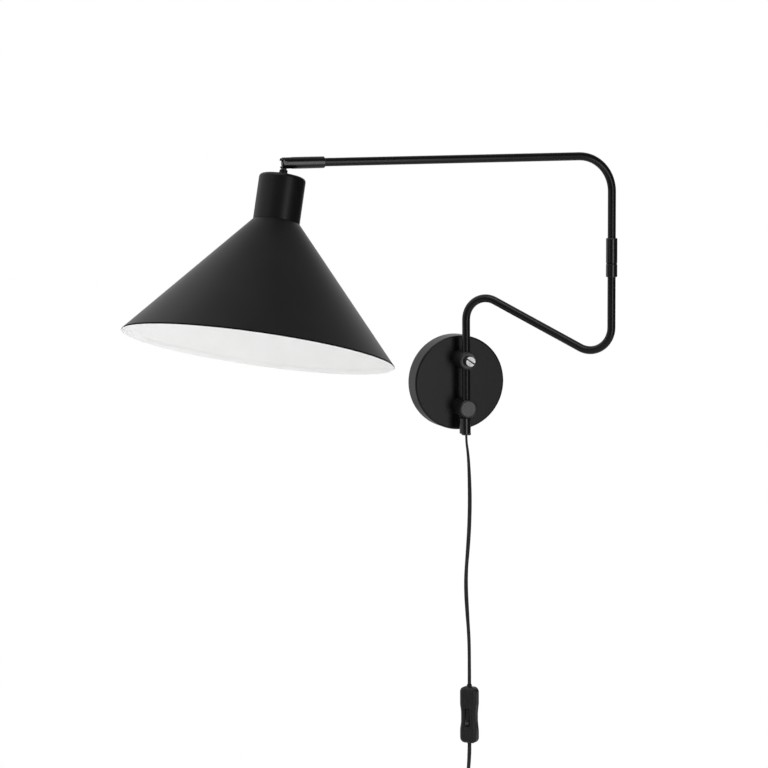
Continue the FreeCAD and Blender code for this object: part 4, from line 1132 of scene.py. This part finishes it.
@dataclass
class Cord:
    """The flat two-core cord: a hanging run to the switch, and a tied coil with the plug under it.

    Routes are points (x, z) in millimetres in a plane y = front or back, and the coil's sizes are in
    millimetres too. A twist is a list of (millimetres along the cord, degrees that its wide side turns
    from the viewer).
    """

    finishes: Finishes
    width: float = 5.1 * MM
    thick: float = 2.9 * MM
    groove: float = 0.45 * MM
    lobe_reach: float = 100.0
    lobe_points: int = 13
    valley_spread: float = 1.3
    valley: Sequence[Pair] = ((0.5, 0.72), (0.2, 0.18), (-0.2, 0.18), (-0.5, 0.72))
    facing: float = -19.75
    front: float = -48.0
    back: float = -42.8
    hang_length: float = 0.322
    hang_fineness: int = 14
    hang: Sequence[Pair] = ((0, -64.3), (0, -72.5), (2.4, -88), (3.9, -112), (4.8, -147), (3.9, -182),
                            (1.8, -212), (-0.6, -239), (-0.8, -264), (1.0, -294), (3.3, -326), (3.7, -356),
                            (3.7, -385.8))
    hang_twist: Sequence[Pair] = ((0, 92), (12, 84), (40, 59), (85, 5), (128, -8), (167, -46), (199, -12),
                                  (243, 46), (290, 50), (321, 40))
    below_length: float = 1.255
    below_fineness: int = 4
    below: Sequence[Pair] = ((3.7, -462.2), (3.7, -472), (2.9, -488), (1.2, -508), (0, -524), (0, -533.6))
    below_twist: Sequence[Pair] = ((0, 30), (12, 12), (34, 42), (62, 109.75))
    tail: Sequence[Pair] = ((0, -542.4), (0, -549.4), (1.0, -559.4), (1.0, -566.4))
    coil_centre: Triple = (-34.657, -45.4, -538.0)
    coil_inner: float = 17.5
    coil_pitch: float = 4.9
    coil_layer: float = 5.2
    coil_turns: int = 7
    coil_blend: float = 0.6
    points_a_turn: int = 24

    def coil_route(self) -> np.ndarray:
        """Control points of the coil.

        Returns:
            A flat spiral that winds inwards on the front layer, steps to the back layer at its middle and
            winds outwards again: radius = inner + pitch |t| / 2 pi for a turn t that passes through 0,
            rounded off there.
        """
        half = self.coil_turns * math.pi
        turn = np.linspace(-half, half, self.coil_turns * self.points_a_turn + 1)
        angle = turn + half
        radius = self.coil_inner + self.coil_pitch * np.hypot(turn, self.coil_blend) / (2 * math.pi)
        layer = np.sin(np.clip(turn, -math.pi / 2, math.pi / 2)) * self.coil_layer / 2
        return self.coil_centre + np.stack([radius * np.cos(angle), layer, -radius * np.sin(angle)], axis=-1)

    def line(self, name: str, route: np.ndarray, fineness: int) -> np.ndarray:
        """Points on the smooth line that a route's control points give.

        Args:
            name: the curve's name while it is read.
            route: the control points in metres.
            fineness: points between two control points.

        Returns:
            The points of the NURBS line, in order.
        """
        data = bpy.data.curves.new(name, "CURVE")
        data.dimensions = "3D"
        data.resolution_u = fineness
        spline = data.splines.new("NURBS")
        spline.points.add(len(route) - 1)
        spline.points.foreach_set("co", np.column_stack([route, np.ones(len(route))]).ravel())
        spline.order_u = 3
        spline.use_endpoint_u = True
        holder = stand(name, data)
        bpy.context.view_layer.update()
        mesh = bpy.data.meshes.new_from_object(holder)
        points = np.empty(len(mesh.vertices) * 3)
        mesh.vertices.foreach_get("co", points)
        bpy.data.objects.remove(holder)
        bpy.data.curves.remove(data)
        bpy.data.meshes.remove(mesh)
        return points.reshape(-1, 3)

    def section(self) -> np.ndarray:
        """The cord's outline across.

        Returns:
            Two round lobes side by side with a shallow groove between them on both faces, as (across,
            through) in metres.
        """
        lobe = self.thick / 2
        right = arc((self.width / 2 - lobe, 0.0), lobe, -self.lobe_reach, self.lobe_reach, self.lobe_points)
        edge, floor, dip = right[-1], lobe - self.groove, np.array(self.valley)
        valley = np.column_stack([dip[:, 0] * edge[0] * self.valley_spread,
                                  floor + dip[:, 1] * (edge[1] - floor)])
        return np.concatenate([right, valley, -right, -valley])

    def sweep(self, path: np.ndarray, twist: Sequence[Pair]) -> Surface:
        """The section carried along a path.

        Args:
            path: points on the cord's middle line.
            twist: how the cord's wide side turns along it.

        Returns:
            At each point the section is laid out on the wide direction, which is level and turned by the
            twist, and on the direction square to it and to the path; both ends are closed.
        """
        along = np.gradient(path, axis=0)
        along /= np.linalg.norm(along, axis=1, keepdims=True)
        turn = np.radians(np.interp(run_of(path) / MM, *np.array(twist, float).T) + self.facing)
        wide = np.stack([np.cos(turn), np.sin(turn), np.zeros_like(turn)], axis=-1)
        wide -= np.sum(wide * along, axis=1, keepdims=True) * along
        wide /= np.linalg.norm(wide, axis=1, keepdims=True)
        thin = np.cross(along, wide)
        across, through = self.section().T[:, None, :, None]
        grid = path[:, None] + across * wide[:, None] + through * thin[:, None]
        return swept(path, grid, path[[0, -1]])

    def build(self, on_hang: Sequence[bpy.types.Object], on_coil: Sequence[bpy.types.Object]) -> None:
        """Args:
            on_hang: the pieces at the end of the hanging run; not used.
            on_coil: the pieces at the end of the coiled run; not used.
        """
        sheath = [self.finishes.cord_black]
        hang = np.array([(x, self.front, z) for x, z in self.hang]) * MM
        path = self.line("hanging_line", hang, self.hang_fineness)
        upper = self.sweep(path, self.hang_twist).piece("hanging_cord", Body.WALL, Slot.CORD_BLACK, sheath,
                                                        ["cord_upper"])
        below = np.array([(x, self.front, z) for x, z in self.below])
        tail = np.array([(x, self.back, z) for x, z in self.tail])
        route = np.concatenate([below, self.coil_route(), tail]) * MM
        path = self.line("coiled_line", route, self.below_fineness)
        lower = self.sweep(path, self.below_twist).piece("coiled_cord", Body.WALL, Slot.CORD_BLACK, sheath,
                                                         ["cord_lower", "cord_coil", "cord_tail"])


@dataclass(frozen=True)
class Panel:
    """A soft light panel of the studio, as the lamp sees it: degrees from the camera, and above the level."""

    name: str
    azimuth: float
    half_width: float
    low: float
    high: float
    soft: float
    bright: float


@dataclass
class Studio:
    """The camera, a plain pale floor and soft light from panels round a dim room."""

    azimuth: float = -19.751
    elevation: float = 6.874
    roll: float = -0.277
    distance: float = 4.0
    lens: float = 146.97
    sensor: float = 36.0
    sight: float = 50.0
    aside: float = -87.43 * MM
    rise: float = -4.80 * MM
    floor: Triple = (-0.1, -0.15, -0.662)
    floor_radius: float = 1.6
    floor_steps: int = 96
    floor_tones: Pair = (0.88, 0.90)
    floor_speck: float = 6 * MM
    floor_white: float = 0.93
    floor_fade: Pair = (0.3, 0.9)
    room: float = 0.09
    softbox_azimuth: float = 31.0
    softbox_height: float = -0.05
    softbox_away: float = 2.2
    softbox_size: Pair = (0.60, 2.3)
    softbox_bright: float = 6.4
    side_fade: float = 0.001
    top_fade: float = 0.12
    backdrop: Panel = Panel("backdrop", 180.0, 20.0, -12.0, 34.0, 8.0, 1.0)
    panels: Sequence[Panel] = (
        Panel("left_wall", -92.0, 48.0, -55.0, 50.0, 12.0, 1.15),
        Panel("upper_left", -125.0, 40.0, 25.0, 65.0, 12.0, 0.55),
        Panel("ceiling", 0.0, 179.0, 62.0, 89.0, 10.0, 0.15),
        Panel("upper_right", 150.0, 28.0, 28.0, 62.0, 12.0, 0.55),
        Panel("right_back", 158.0, 10.0, 0.0, 20.0, 6.0, 0.74),
        Panel("front_softbox", -30.0, 40.0, 55.0, 80.0, 6.0, 5.5),
    )

    def bearing(self, azimuth: float, elevation: float) -> np.ndarray:
        """The direction from the lamp at an azimuth from the front and an elevation."""
        level = cosine(elevation)
        return np.array([sine(azimuth) * level, -cosine(azimuth) * level, sine(elevation)])

    def camera(self) -> None:
        """Puts the camera at the picture's place."""
        back = self.bearing(self.azimuth, self.elevation)
        right = np.array([cosine(self.azimuth), sine(self.azimuth), 0.0])
        up = np.cross(back, right)
        keep, tip = cosine(self.roll), sine(self.roll)
        right, up = right * keep + up * tip, up * keep - right * tip
        data = bpy.data.cameras.new("camera")
        data.lens = self.lens
        data.sensor_width = self.sensor
        data.clip_end = self.sight
        place = back * self.distance + right * self.aside + up * self.rise
        bpy.context.scene.camera = stand("camera", data, Axes(place, right, up, back))

    def light_of(self, shader: Shader, panel: Panel, level: Wire, rise: Wire) -> Wire:
        """The light of one panel in the direction that is looked at.

        Args:
            shader: the world's shader.
            panel: the panel.
            level: the direction with its height taken out, one long.
            rise: the direction's height, the sine of its elevation.

        Returns:
            The panel's brightness inside its sides, falling softly to 0 outside them: the level part is
            compared by the cosine of the angle from the panel's middle, the height by its sine.
        """
        log.info("hung %s", panel.name)
        middle = tuple(self.bearing(self.azimuth + panel.azimuth, 0.0))
        beside = shader.vector("DOT_PRODUCT", level, middle, out="Value")
        outer = cosine(min(panel.half_width + panel.soft, 180.0)) - self.side_fade
        inside = beside.step(outer, cosine(panel.half_width))
        over = rise.step(sine(panel.low - panel.soft), sine(panel.low))
        above = rise.step(sine(panel.high), sine(panel.high) + self.top_fade)
        return inside * over * (1 - above) * panel.bright

    def surroundings(self) -> None:
        """A white world for the camera; the lamp sees panels in a dim room, its gloss the backdrop too."""
        world = bpy.data.worlds.new("studio")
        bpy.context.scene.world = world
        shader = Shader(world)
        look = shader.add("ShaderNodeTexCoord", out="Generated")
        level = shader.vector("NORMALIZE", shader.vector("MULTIPLY", look, (1.0, 1.0, 0.0)))
        rise = shader.part(look, "Z")
        light = self.room + sum(self.light_of(shader, panel, level, rise) for panel in self.panels)
        behind = shader.ray(Ray.GLOSS) * self.light_of(shader, self.backdrop, level, rise)
        white = shader.ray(Ray.CAMERA).larger(shader.ray(Ray.THROUGH)).larger(behind)
        shown = shader.add("ShaderNodeMixShader", {}, {
            0: white,
            1: shader.add("ShaderNodeBackground", {}, {"Color": WHITE, "Strength": light}),
            2: shader.add("ShaderNodeBackground", {}, {"Color": WHITE})})
        shader.add("ShaderNodeOutputWorld", {}, {"Surface": shown})

    def softbox(self) -> None:
        """Stands a tall narrow softbox to the right of the camera, where the camera does not see it.

        Its energy is its brightness x pi x its area, and it shines along its own -z.
        """
        data = bpy.data.lights.new("softbox", "AREA")
        data.shape = "RECTANGLE"
        data.size, data.size_y = self.softbox_size
        data.energy = self.softbox_bright * math.pi * data.size * data.size_y
        away = self.bearing(self.azimuth + self.softbox_azimuth, 0.0)
        place = away * self.softbox_away + (0.0, 0.0, self.softbox_height)
        stand("softbox", data, Axes.along(place, away)).visible_camera = False

    def ground(self) -> None:
        """Lays a round pale floor that is seen as almost white, and as white towards its edge."""
        made = bpy.data.materials.new("pale_floor")
        shader = Shader(made)
        speck = shader.noise(shader.place(), self.floor_speck, 2.0)
        tone = shader.blend(speck, *(grey(level) for level in self.floor_tones))
        away = shader.vector("LENGTH", shader.place((0.0, 0.0, self.floor[2])), out="Value")
        far = away.step(*(share * self.floor_radius for share in self.floor_fade))
        seen = shader.ray(Ray.CAMERA).larger(shader.ray(Ray.THROUGH)).larger(shader.ray(Ray.GLOSS))
        shown = shader.add("ShaderNodeMixShader", {}, {
            0: seen * (self.floor_white + far * (1 - self.floor_white)),
            1: shader.add("ShaderNodeBsdfDiffuse", {}, {"Color": tone}),
            2: shader.add("ShaderNodeEmission", {}, {"Color": WHITE})})
        shader.add("ShaderNodeOutputMaterial", {}, {"Surface": shown})
        rings = np.array([[0.0, 0.0], [0.5, 0.0], [1.0, 0.0]]) * self.floor_radius
        mesh = Surface(Axes.along(self.floor, (0, 0, 1)).turned(rings, self.floor_steps)).mesh("floor")
        mesh.materials.append(made)
        stand("floor", mesh)

    def build(self) -> None:
        """Sets up the whole studio."""
        self.camera()
        self.surroundings()
        self.softbox()
        self.ground()
        bpy.context.scene.view_settings.view_transform = "Standard"


def main() -> None:
    """Builds the studio and every group of the lamp."""
    logging.basicConfig(level=logging.INFO, format="%(name)s: %(message)s")
    finishes = Finishes()
    Studio().build()
    Cord(finishes).build(on_hang=Switch(finishes).build(), on_coil=Plug(finishes).build())
    WallGroup(finishes).build()
    Arms(finishes).build()
    Shade(finishes).build()


if __name__ == "__main__":
    main()
